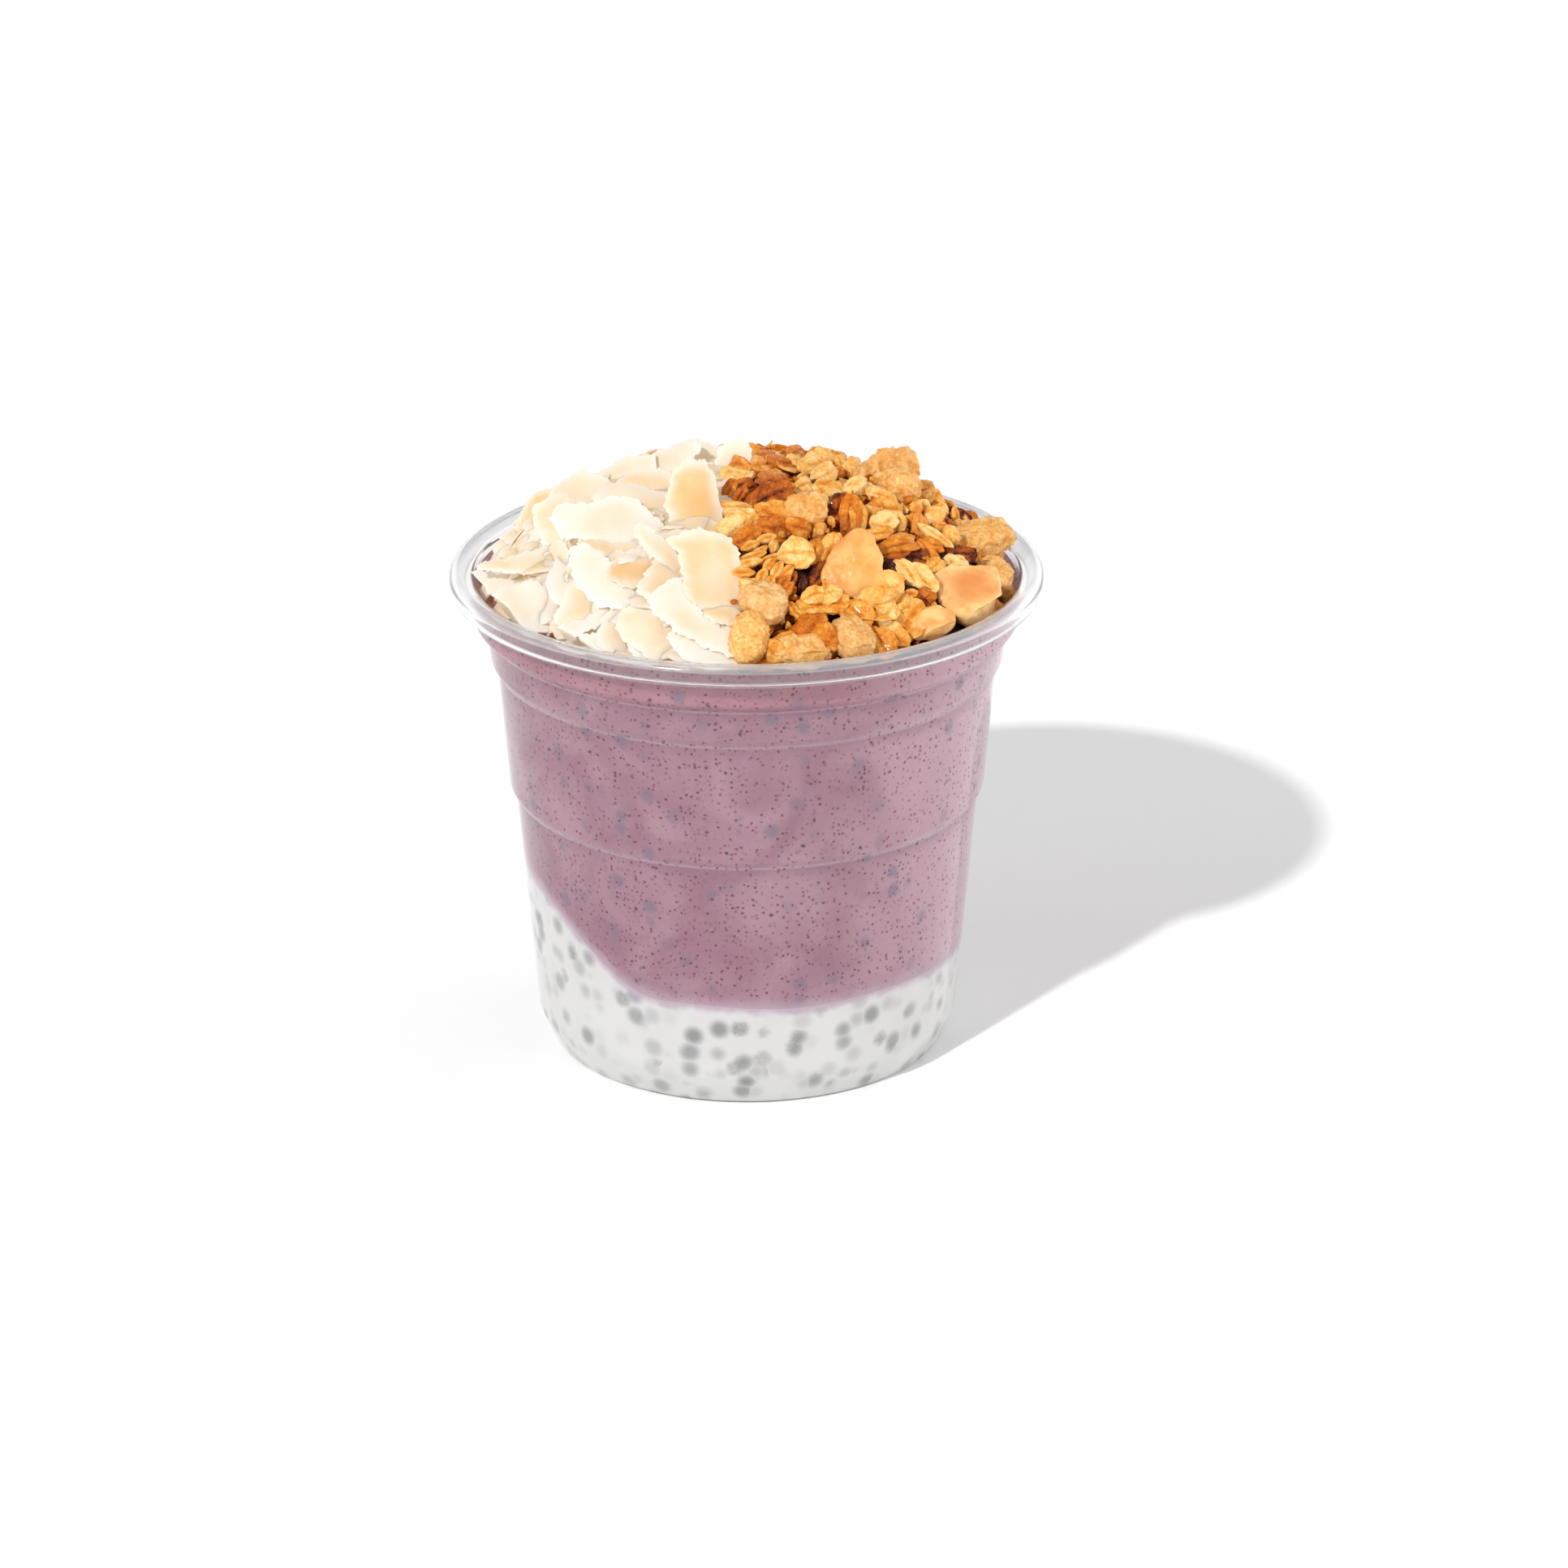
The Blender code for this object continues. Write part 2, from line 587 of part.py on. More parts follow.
def keep_largest(obj):
    """Drop flaps without thickness, loose scraps and sealed hollows: one closed skin stays."""
    bm = bmesh.new()
    bm.from_mesh(obj.data)
    bmesh.ops.triangulate(bm, faces=bm.faces[:])
    same = {}
    for face in bm.faces:
        same.setdefault(frozenset(face.verts), []).append(face)
    flaps = [face for group in same.values() if len(group) > 1 for face in group]
    bmesh.ops.delete(bm, geom=flaps, context="FACES")
    seen = set()
    skins = []
    for start in bm.faces:
        if start.index in seen:
            continue
        skin, stack = [], [start]
        seen.add(start.index)
        while stack:
            face = stack.pop()
            skin.append(face)
            for edge in face.edges:
                for other in edge.link_faces:
                    if other.index not in seen:
                        seen.add(other.index)
                        stack.append(other)
        skins.append(skin)
    skins.sort(key=len)
    for skin in skins[:-1]:
        bmesh.ops.delete(bm, geom=skin, context="FACES")
    bm.to_mesh(obj.data)
    bm.free()


def build_heap(heap, side, room, hollows, scatter):
    """Fuse the loose pieces onto the core, kept inside the rim and on its own side."""
    pieces = new_collection(heap.name + "_pieces")
    scatter(pieces)
    boolean(heap, "UNION", collection=pieces, solver="MANIFOLD")
    boolean(heap, "INTERSECT", room, solver="MANIFOLD")
    boolean(heap, "INTERSECT", side, solver="MANIFOLD")
    boolean(heap, "DIFFERENCE", collection=hollows, solver="MANIFOLD")
    apply_modifiers(heap)
    for obj in list(pieces.objects):
        drop(obj)
    bpy.data.collections.remove(pieces)
    keep_largest(heap)
    smooth(heap, 30.0)


def build_heaps(hollows):
    coconut_white = material("coconut", (0.93, 0.89, 0.76), 0.45)
    granola_brown = material("granola", (0.60, 0.33, 0.10), 0.5)
    room = inside_rim()
    left = side_block("coconut_side", -1)
    right = side_block("granola_side", 1)
    core = heap_core("coconut_flakes", coconut_white, COCONUT_CORE_DEPTH,
                     reach=HEAP_RADIUS - 2.5 * MM, steep=0.12, lumps=0.7 * MM)
    build_heap(core, left, room, hollows, coconut_pieces)
    core = heap_core("granola", granola_brown, GRANOLA_CORE_DEPTH,
                     reach=HEAP_RADIUS - 0.5 * MM, steep=0.04, lumps=3.0 * MM)
    build_heap(core, right, room, hollows, granola_pieces)


build_cup()
build_contents()
build_heaps(build_singles())
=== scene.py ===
import math

import bmesh
import bpy
import numpy as np
from mathutils import Matrix, Vector, noise


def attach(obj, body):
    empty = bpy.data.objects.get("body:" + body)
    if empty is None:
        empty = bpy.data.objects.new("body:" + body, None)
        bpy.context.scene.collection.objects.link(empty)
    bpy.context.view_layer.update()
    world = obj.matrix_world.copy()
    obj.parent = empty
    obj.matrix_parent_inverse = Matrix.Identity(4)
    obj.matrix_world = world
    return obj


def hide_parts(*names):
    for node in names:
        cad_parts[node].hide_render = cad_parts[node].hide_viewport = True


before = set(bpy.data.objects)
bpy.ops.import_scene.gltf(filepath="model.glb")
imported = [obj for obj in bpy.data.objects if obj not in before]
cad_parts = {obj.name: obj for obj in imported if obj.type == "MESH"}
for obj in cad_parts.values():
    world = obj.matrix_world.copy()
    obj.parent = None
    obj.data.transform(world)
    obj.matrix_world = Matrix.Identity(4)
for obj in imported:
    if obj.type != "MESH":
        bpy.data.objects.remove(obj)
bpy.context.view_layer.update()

# Camera and light
# The camera was solved from the rim and base ellipses. A white floor, a soft white room and
# one low sun from the left front give the long grey shadow towards the back right.


def in_scene(name, data):
    """A new object in the scene."""
    made = bpy.data.objects.new(name, data)
    bpy.context.scene.collection.objects.link(made)
    return made


camera_data = bpy.data.cameras.new("camera")
camera_data.sensor_width = 36.0
camera_data.lens = 133.22
camera = in_scene("camera", camera_data)
camera.location = (0.00617, -0.9016, 0.4058)
camera.rotation_euler = (math.radians(68.11), 0, 0)
bpy.context.scene.camera = camera
bpy.context.scene.view_settings.view_transform = "Standard"


def feed(tree, node, inputs):
    """Gives a node its inputs, as plain values or as sockets to link."""
    for key, value in inputs.items():
        if isinstance(value, bpy.types.NodeSocket):
            tree.links.new(value, node.inputs[key])
        else:
            node.inputs[key].default_value = value


def add_node(tree, kind, inputs=None, **settings):
    """A shader node with its settings and inputs."""
    made = tree.nodes.new("ShaderNode" + kind)
    for key, value in settings.items():
        setattr(made, key, value)
    feed(tree, made, inputs or {})
    return made


def srgb(code):
    """A linear colour from an sRGB hex code."""
    parts = [int(code[i:i + 2], 16) / 255 for i in (0, 2, 4)]
    return tuple(c / 12.92 if c <= 0.04045 else ((c + 0.055) / 1.055) ** 2.4 for c in parts) + (1.0,)


# The room is brightest near the floor and to the right, which lights the cup's wall as in the photo
room = bpy.data.worlds.new("white_room")
room.use_nodes = True
bpy.context.scene.world = room
tree = room.node_tree
way = add_node(tree, "TexCoord")
split = add_node(tree, "SeparateXYZ", {"Vector": way.outputs["Generated"]})
height = add_node(tree, "MapRange", {"Value": split.outputs["Z"], "From Max": 0.6, "To Min": 1.7,
                                     "To Max": 0.3}, interpolation_type="SMOOTHSTEP")
right = add_node(tree, "MapRange", {"Value": split.outputs["X"], "From Min": 0.1, "From Max": 1.0,
                                    "To Min": 1.0, "To Max": 2.3}, interpolation_type="SMOOTHSTEP")
glow = add_node(tree, "Math", {0: height.outputs[0], 1: right.outputs[0]}, operation="MULTIPLY")
feed(tree, tree.nodes["Background"], {"Color": srgb("ffffff"), "Strength": glow.outputs[0]})

SUN_FROM = Vector((-0.424, -0.673, 0.606))
sun_data = bpy.data.lights.new("low_sun", "SUN")
sun_data.energy = 2.1
sun_data.angle = math.radians(2.5)
in_scene("low_sun", sun_data).rotation_euler = SUN_FROM.to_track_quat("Z", "Y").to_euler()
CUP_MIDDLE = Vector((0, 0, 0.05))


def area_light(name, place, size, watts):
    """A square soft box that faces the cup."""
    data = bpy.data.lights.new(name, "AREA")
    data.shape = "RECTANGLE"
    data.size, data.size_y = size
    data.energy = watts
    light = in_scene(name, data)
    light.location = place
    light.rotation_euler = (Vector(place) - CUP_MIDDLE).to_track_quat("Z", "Y").to_euler()


area_light("soft_box_left", (-0.9, -0.2, 0.7), (0.5, 0.8), 1.2)
area_light("soft_box_top", (0.1, 0.3, 1.1), (0.8, 0.5), 1.2)


def new_material(name):
    made = bpy.data.materials.new(name)
    made.use_nodes = True
    return made, made.node_tree, made.node_tree.nodes["Principled BSDF"]


# Matt white paper that takes only the shadow
floor_white, tree, shader = new_material("floor_white_paper")
feed(tree, shader, {"Base Color": srgb("ffffff"), "Roughness": 0.9})
bpy.ops.mesh.primitive_plane_add(size=8.0)
floor = bpy.context.object
floor.name = "floor"
floor.data.materials.append(floor_white)

# Clear cup
# Thermoformed PET, 0.5 mm thick: a turned wall with three small steps, a chamfered foot,
# a recessed base and a rolled rim. Clear and glossy, with the faint ripple of moulding.

MM = 0.001
WALL = 0.5 * MM
CUP_HEIGHT = 82.9 * MM
RIM_RADIUS = 49.0 * MM
BASE_RECESS = 0.8 * MM
CURL = 1.6 * MM
UNDER_CURL = 1.5 * MM
CURL_SIDE = 0.9 * MM
CORNER = 0.5 * MM
RIM_FROM = 81.6 * MM
TURN_STEPS = 192
# Radius and height in mm of the foot and the top of each of the three ledges
WALL_STEPS = ((38.65, 44.3), (39.65, 45.5), (41.4, 66.3), (42.5, 67.7), (43.15, 73.0), (45.2, 74.7))


def rounded(path, radius, count=3):
    """The path with each inner corner turned into a small curve."""
    done = [path[0]]
    for before, corner, after in zip(path, path[1:], path[2:]):
        corner = np.array(corner)
        cuts = []
        for end in (before, after):
            reach = np.array(end) - corner
            run = np.linalg.norm(reach)
            cuts.append(corner + reach / run * min(radius, 0.45 * run))
        for t in np.linspace(0, 1, count + 1):
            point = (1 - t) ** 2 * cuts[0] + 2 * t * (1 - t) * corner + t * t * cuts[1]
            done.append(tuple(point))
    return done + [path[-1]]


def arc(centre, radius, start, end):
    angles = np.radians(np.linspace(start, end, 15))
    return [(centre[0] + radius * math.cos(a), centre[1] + radius * math.sin(a)) for a in angles]


def offset(path, distance):
    """The path moved to its left by a distance."""
    points = np.array(path)
    ahead = np.gradient(points, axis=0)
    ahead /= np.linalg.norm(ahead, axis=1)[:, None]
    moved = points + distance * np.stack([-ahead[:, 1], ahead[:, 0]], axis=1)
    moved[:, 0] = np.maximum(moved[:, 0], 0)
    moved[0, 0] = 0
    return [tuple(p) for p in moved]


def wall_path():
    """Middle of the wall, from the axis out along the base and up to the neck under the rim."""
    half = WALL / 2
    base = [(0.0, BASE_RECESS + half), (26.5 * MM, BASE_RECESS + half), (27.5 * MM, half),
            (32.6 * MM, half)]
    outside = ((33.2, 0.7), (35.3, 5.5), *WALL_STEPS, (45.3, 80.9), (45.8, 81.9))
    return base + [(r * MM - half, z * MM) for r, z in outside]


def rim_path():
    """Middle of the rolled rim, from its top out and down and in under itself."""
    half = WALL / 2
    upper, lower = CURL - half, UNDER_CURL - half
    side = CUP_HEIGHT - half - upper
    curl = arc((RIM_RADIUS - CURL, side), upper, 90, 0)
    return curl + arc((RIM_RADIUS - UNDER_CURL, side - CURL_SIDE), lower, 0, -105)


def mesh_of(name, bm):
    bmesh.ops.recalc_face_normals(bm, faces=bm.faces[:])
    mesh = bpy.data.meshes.new(name)
    bm.to_mesh(mesh)
    bm.free()
    return mesh


def turned(name, profile, material):
    """A solid of revolution from a closed profile that runs down its outer side at +X."""
    bm = bmesh.new()
    verts = [bm.verts.new((r, 0.0, z)) for r, z in profile]
    for i, v in enumerate(verts):
        before = verts[i - 1]
        if before.co.x > 0 or v.co.x > 0:
            bm.edges.new((before, v))
    geometry = bm.verts[:] + bm.edges[:]
    bmesh.ops.spin(bm, geom=geometry, axis=(0, 0, 1), cent=(0, 0, 0), angle=2 * math.pi,
                   steps=TURN_STEPS, use_merge=True, use_duplicate=False)
    bmesh.ops.remove_doubles(bm, verts=bm.verts[:], dist=1e-6)
    mesh = mesh_of(name, bm)
    mesh.shade_smooth()
    mesh.materials.append(material)
    return in_scene(name, mesh)


# Clear and glossy; a ripple of about 11 mm bends the highlights a little
clear_pet, tree, shader = new_material("clear_pet_plastic")
place = add_node(tree, "TexCoord")
ripple = add_node(tree, "TexNoise", {"Vector": place.outputs["Object"], "Scale": 90.0})
rough = add_node(tree, "MapRange", {"Value": ripple.outputs["Fac"], "To Min": 0.02, "To Max": 0.06})
bump = add_node(tree, "Bump", {"Height": ripple.outputs["Fac"], "Strength": 0.06, "Distance": 0.4 * MM})
feed(tree, shader, {"Base Color": srgb("fbfcfd"), "Transmission Weight": 1.0, "IOR": 1.5,
                    "Roughness": rough.outputs[0], "Normal": bump.outputs[0]})

# The thick curl of the rim scatters a little light, so it shows light grey and not as streaks
rim_pet, tree, shader = new_material("clear_pet_rim")
place = add_node(tree, "TexCoord")
ripple = add_node(tree, "TexNoise", {"Vector": place.outputs["Object"], "Scale": 60.0, "Detail": 1.0})
rough = add_node(tree, "MapRange", {"Value": ripple.outputs["Fac"], "To Min": 0.13, "To Max": 0.18})
feed(tree, shader, {"Base Color": srgb("f9f9fb"), "Transmission Weight": 0.84, "IOR": 1.4,
                    "Roughness": rough.outputs[0]})

middle = rounded(wall_path() + rim_path()[:1], CORNER) + rim_path()[1:]
cup = turned("clear_cup", offset(middle, -WALL / 2)[::-1] + offset(middle, WALL / 2), clear_pet)
cup.data.materials.append(rim_pet)
for face in cup.data.polygons:
    if face.center.z > RIM_FROM:
        face.material_index = 1
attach(cup, "root")
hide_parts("cup")

# Pudding and yogurt
# White pudding with soaked chia seeds, poured in first and set higher on the left, and acai berry
# yogurt with seeds and bits of skin, filled in over it. Each reaches just into the wall, so that
# no air shows. Seeds, specks and veils are worked out from the place in millimetres.

PUDDING_TOP = 42 * MM
ACAI_TOP = 78.3 * MM
ACAI_CREEP = 1.9 * MM
INTO_WALL = 0.12 * MM
ROW_HEIGHT = 1.2 * MM
# The creep begins at this share of the fill's radius and takes this share of it
CREEP_FROM = 0.92
CREEP_WIDTH = 0.08
# The line where they meet, in mm: low in front, a bank that rises to the left, and a slight wave
MEETING_LOW = 18.6
BANK_FROM = -14
BANK_WIDTH = 24
BANK_RISE = 13.5
WAVE_HEIGHT = 0.8
WAVE_ACROSS = 6.5
WAVE_DEEP = 17


def fill_profile(top, creep=0.0):
    """What fills the cup up to a height, and creeps up the wall, just into its thickness."""
    side = offset(rounded(wall_path(), CORNER), WALL / 2 - INTO_WALL)
    below = [p for p in side if p[1] < top + creep]
    (r, z), (r_over, z_over) = below[-1], side[len(below)]
    below.append((r + (r_over - r) * (top + creep - z) / (z_over - z), top + creep))
    edge = below[-1][0] + 0.05 * MM
    finer = [below[0]]
    for a, b in zip(below, below[1:]):
        parts = max(int(abs(b[1] - a[1]) / ROW_HEIGHT), 1)
        finer += [(a[0] + (b[0] - a[0]) * k / parts, a[1] + (b[1] - a[1]) * k / parts)
                  for k in range(1, parts + 1)]
    radii = edge * np.concatenate([np.linspace(0, CREEP_FROM, 24), np.linspace(0.935, 1, 7)])
    disc = [(r, top + creep * (max(r / edge - CREEP_FROM, 0) / CREEP_WIDTH) ** 2) for r in radii]
    return disc + finer[::-1]


def meeting(x, y):
    """Height in metres where pudding meets yogurt."""
    t = np.clip((BANK_FROM * MM - x) / (BANK_WIDTH * MM), 0, 1)
    bank = BANK_RISE * MM * t * t * (3 - 2 * t)
    wave = WAVE_HEIGHT * MM * np.sin(x / (WAVE_ACROSS * MM)) * np.cos(y / (WAVE_DEEP * MM))
    return MEETING_LOW * MM + bank + wave


def meeting_block(name, far_side):
    """All that lies between the meeting line and a height above or below it."""
    bm = bmesh.new()
    bmesh.ops.create_grid(bm, x_segments=60, y_segments=60, size=RIM_RADIUS)
    for v in bm.verts:
        v.co.z = meeting(v.co.x, v.co.y)
    grown = bmesh.ops.extrude_face_region(bm, geom=bm.faces[:])
    for v in grown["geom"]:
        if isinstance(v, bmesh.types.BMVert):
            v.co.z = far_side
    return in_scene(name, mesh_of(name, bm))


def cut_away(piece, block):
    """Takes the block out of the piece for good."""
    cut = piece.modifiers.new("cut", "BOOLEAN")
    cut.operation = "DIFFERENCE"
    cut.solver = "MANIFOLD"
    cut.object = block
    graph = bpy.context.evaluated_depsgraph_get()
    shaped = bpy.data.meshes.new_from_object(piece.evaluated_get(graph))
    piece.modifiers.clear()
    piece.data = shaped
    bpy.data.objects.remove(block, do_unlink=True)
    shaped.shade_smooth()
    shaped.set_sharp_from_angle(angle=math.radians(50))


def millimetres(tree):
    """The place on the piece, in millimetres."""
    place = add_node(tree, "TexCoord")
    return add_node(tree, "VectorMath", {0: place.outputs["Object"], "Scale": 1000.0},
                    operation="SCALE").outputs[0]


def above_meeting(tree, place):
    """Height over the line where pudding meets yogurt, in millimetres, with a ragged edge."""
    xyz = add_node(tree, "SeparateXYZ", {"Vector": place})
    bank = add_node(tree, "MapRange", {"Value": xyz.outputs["X"], "From Min": BANK_FROM,
                                       "From Max": BANK_FROM - BANK_WIDTH, "To Min": MEETING_LOW,
                                       "To Max": MEETING_LOW + BANK_RISE}, interpolation_type="SMOOTHSTEP")
    along = add_node(tree, "Math", {0: xyz.outputs["X"], 1: 1 / WAVE_ACROSS}, operation="MULTIPLY")
    across = add_node(tree, "Math", {0: xyz.outputs["Y"], 1: 1 / WAVE_DEEP}, operation="MULTIPLY")
    wave = add_node(tree, "Math", {0: along.outputs[0]}, operation="SINE")
    swing = add_node(tree, "Math", {0: across.outputs[0]}, operation="COSINE")
    both = add_node(tree, "Math", {0: wave.outputs[0], 1: swing.outputs[0]}, operation="MULTIPLY")
    line = add_node(tree, "Math", {0: both.outputs[0], 1: WAVE_HEIGHT, 2: bank.outputs[0]},
                    operation="MULTIPLY_ADD")
    over = add_node(tree, "Math", {0: xyz.outputs["Z"], 1: line.outputs[0]}, operation="SUBTRACT")
    ragged = add_node(tree, "TexNoise", {"Vector": place, "Scale": 0.3, "Detail": 3.0})
    return add_node(tree, "Math", {0: ragged.outputs["Fac"], 1: 2.4, 2: over.outputs[0]},
                    operation="MULTIPLY_ADD").outputs[0]


def spots(tree, place, spacing, inner, outer, strength):
    """Round spots round random points: 1 in the middle, fading to 0 between two radii in mm."""
    cells = add_node(tree, "TexVoronoi", {"Vector": place, "Scale": 1 / spacing})
    away = add_node(tree, "Math", {0: cells.outputs["Distance"], 1: spacing}, operation="MULTIPLY")
    chance = add_node(tree, "SeparateColor", {"Color": cells.outputs["Color"]})
    most = add_node(tree, "MapRange", {"Value": chance.outputs["Red"], "To Min": strength[0],
                                       "To Max": strength[1]})
    return add_node(tree, "MapRange", {"Value": away.outputs[0], "From Min": inner, "From Max": outer,
                                       "To Min": most.outputs[0], "To Max": 0.0},
                    interpolation_type="SMOOTHSTEP").outputs[0]


# Milky and softly glossy, with soaked seeds that blur with their depth: soft ones deep, crisp
# ones at the wall. Seeds are 2 to 2.7 mm across; it turns faintly lilac where it meets the yogurt
pudding_white, tree, shader = new_material("chia_pudding_milky")
place = millimetres(tree)
over = above_meeting(tree, place)
cloud = add_node(tree, "TexNoise", {"Vector": place, "Scale": 0.12, "Detail": 3.0})
colour = add_node(tree, "Mix", {0: cloud.outputs["Fac"], 6: srgb("f3f2f0"), 7: srgb("fbfaf8")},
                  data_type="RGBA").outputs[2]
soft = spots(tree, place, spacing=4.2, inner=0.6, outer=2.3, strength=(0.1, 1.0))
warp = add_node(tree, "TexNoise", {"Vector": place, "Scale": 0.8})
shifted = add_node(tree, "VectorMath", {0: warp.outputs["Color"], 1: place}, operation="ADD")
crisp = spots(tree, shifted.outputs[0], spacing=4.7, inner=0.7, outer=2.0, strength=(-0.3, 0.8))
mottle = add_node(tree, "TexNoise", {"Vector": place, "Scale": 2.2})
flecks = add_node(tree, "MapRange", {"Value": mottle.outputs["Fac"], "From Min": 0.42, "From Max": 0.62})
seed_colour = add_node(tree, "Mix", {0: flecks.outputs[0], 6: srgb("848281"), 7: srgb("b2b1af")},
                       data_type="RGBA").outputs[2]
near = add_node(tree, "MapRange", {"Value": over, "From Min": -0.6, "From Max": 1.2},
                interpolation_type="SMOOTHSTEP")
for amount, other in ((soft, srgb("a2a3a2")), (crisp, seed_colour), (near.outputs[0], srgb("dac6d4"))):
    colour = add_node(tree, "Mix", {0: amount, 6: colour, 7: other}, data_type="RGBA").outputs[2]
feed(tree, shader, {"Base Color": colour, "Roughness": 0.4, "Specular IOR Level": 0.3})

pudding = turned("chia_pudding_fill", fill_profile(PUDDING_TOP), pudding_white)
cut_away(pudding, meeting_block("yogurt_side", CUP_HEIGHT))
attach(pudding, "root")
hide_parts("chia_pudding")

# Dusty purple-pink with cloudy veils. The top band is painted pinker and lighter against the shade of the
# rim, and the right side is painted paler for the light from the right. Each ledge of the wall has a
# painted highlight line over a band of painted shade. The berry's skins are brown-red specks; real
# ones are 0.1 to 0.3 mm, drawn about twice as coarse so that they show
acai_purple, tree, shader = new_material("acai_yogurt_berry")
place = millimetres(tree)
over = above_meeting(tree, place)
cloud = add_node(tree, "TexNoise", {"Vector": place, "Scale": 0.08, "Detail": 4.0, "Distortion": 0.8})
veil = add_node(tree, "MapRange", {"Value": cloud.outputs["Fac"], "From Min": 0.35, "From Max": 0.65})
colour = add_node(tree, "Mix", {0: veil.outputs[0], 6: srgb("b27f92"), 7: srgb("c89dac")},
                  data_type="RGBA").outputs[2]
xyz = add_node(tree, "SeparateXYZ", {"Vector": place})
# Painted light: the top band under the rim is made pinker and lighter, against the rim's shade
upper = add_node(tree, "MapRange", {"Value": xyz.outputs["Z"], "From Min": 72.6, "From Max": 74.6,
                                    "To Max": 0.55}, interpolation_type="SMOOTHSTEP")
# Painted light: paler towards the right, for the light from the right side
side = add_node(tree, "MapRange", {"Value": xyz.outputs["X"], "From Min": 12.0, "From Max": 40.0,
                                   "To Max": 0.95}, interpolation_type="SMOOTHSTEP")
layers = [(upper.outputs[0], "d0909d"), (side.outputs[0], "e6c0ce")]
# Painted highlight line at each ledge, with a band of painted shade under it
for _, level in WALL_STEPS[::2]:
    over_step = add_node(tree, "Math", {0: xyz.outputs["Z"], 1: level}, operation="SUBTRACT")
    under = add_node(tree, "MapRange", {"Value": over_step.outputs[0], "From Min": -2.6, "From Max": -0.4,
                                        "To Max": 0.4})
    below = add_node(tree, "Math", {0: over_step.outputs[0], 1: 0.0}, operation="LESS_THAN")
    shade = add_node(tree, "Math", {0: under.outputs[0], 1: below.outputs[0]}, operation="MULTIPLY")
    away = add_node(tree, "Math", {0: over_step.outputs[0]}, operation="ABSOLUTE")
    line = add_node(tree, "MapRange", {"Value": away.outputs[0], "From Min": 0.1, "From Max": 0.55,
                                       "To Min": 0.8, "To Max": 0.0}, interpolation_type="SMOOTHSTEP")
    layers += [(shade.outputs[0], "a27288"), (line.outputs[0], "d6b8c5")]
chia = spots(tree, place, spacing=4.9, inner=0.6, outer=1.8, strength=(-0.15, 0.8))
jitter = add_node(tree, "TexNoise", {"Vector": place, "Scale": 0.3, "Detail": 0.0})
jogged = add_node(tree, "VectorMath", {0: jitter.outputs["Color"], 1: place}, operation="ADD")
fine = spots(tree, jogged.outputs[0], spacing=0.82, inner=0.14, outer=0.35, strength=(-0.2, 1.2))
coarse = spots(tree, jogged.outputs[0], spacing=2.4, inner=0.16, outer=0.48, strength=(-0.5, 1.1))
near = add_node(tree, "MapRange", {"Value": over, "From Min": 3.6, "From Max": 0.9},
                interpolation_type="SMOOTHSTEP")
layers += [(chia, "8a7f94"), (fine, "88404a"), (coarse, "4b303f"), (near.outputs[0], "d2b4c4")]
for amount, code in layers:
    colour = add_node(tree, "Mix", {0: amount, 6: colour, 7: srgb(code)}, data_type="RGBA").outputs[2]
relief = add_node(tree, "TexNoise", {"Vector": place, "Scale": 0.5, "Detail": 4.0})
bump = add_node(tree, "Bump", {"Height": relief.outputs["Fac"], "Strength": 0.25, "Distance": 1.0 * MM})
feed(tree, shader, {"Base Color": colour, "Roughness": 0.35, "Normal": bump.outputs[0]})

acai = turned("acai_yogurt_fill", fill_profile(ACAI_TOP, ACAI_CREEP), acai_purple)
cut_away(acai, meeting_block("pudding_side", -5 * MM))
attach(acai, "root")
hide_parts("acai_yogurt")

# Coconut
# Shavings of fresh coconut, 0.45 mm thick with lightly sawn edges, thrown on the yogurt in a heap.
# Those in front have their own outlines, curled a little; the others are cut at random. They lie
# over a mound of the same flesh that closes the gaps between them, painted honey yellow with a
# painted glow.

# Both heaps, in mm: a dome, where its mound stands and how low a piece may reach
HEAP_RADIUS = 43.0
HEAP_EDGE = 81.0
HEAP_RISE = 15.2
MOUND_FOOT = 78.25
LOWEST = 78.1
# Pieces keep to this radius up to the rim, and over it may reach out by so much per mm of height
INSIDE_WALL = 44.3
LIP_HEIGHT = 83.2
LIP_FLARE = 1.2
# Close enough to a turn, in radians, for waves that start anywhere
FULL_TURN = 6.28


def heap_top(x, y):
    """Height in mm of the finished heap's surface."""
    return HEAP_EDGE + HEAP_RISE * (1 - (np.hypot(x, y) / HEAP_RADIUS) ** 4)


def slope(x, y):
    """How steep the heap is there, in degrees."""
    rho = np.hypot(x, y) / HEAP_RADIUS
    return np.degrees(np.arctan(4 * HEAP_RISE * rho ** 3 / HEAP_RADIUS))


def outward(x, y):
    """The turn in degrees that makes a piece face away from the heap's middle."""
    return math.degrees(math.atan2(x, -y))


def split_line(y):
    """Where coconut meets granola, across, in mm."""
    return -2.4 - 2.0 * np.cos((y + 14) / 10)


def swell(points, wavelength, seed):
    """A smooth uneven field of about -1 to 1: nine waves in random directions added up."""
    waves = 9
    draw = np.random.default_rng(seed)
    ways = draw.normal(size=(waves, 3))
    lengths = wavelength * draw.uniform(0.6, 1.6, waves)
    ways *= (2 * math.pi / lengths / np.linalg.norm(ways, axis=1))[:, None]
    heights = np.sin(points @ ways.T + draw.uniform(0, FULL_TURN, waves)).sum(axis=-1)
    return heights / math.sqrt(waves) / 1.2


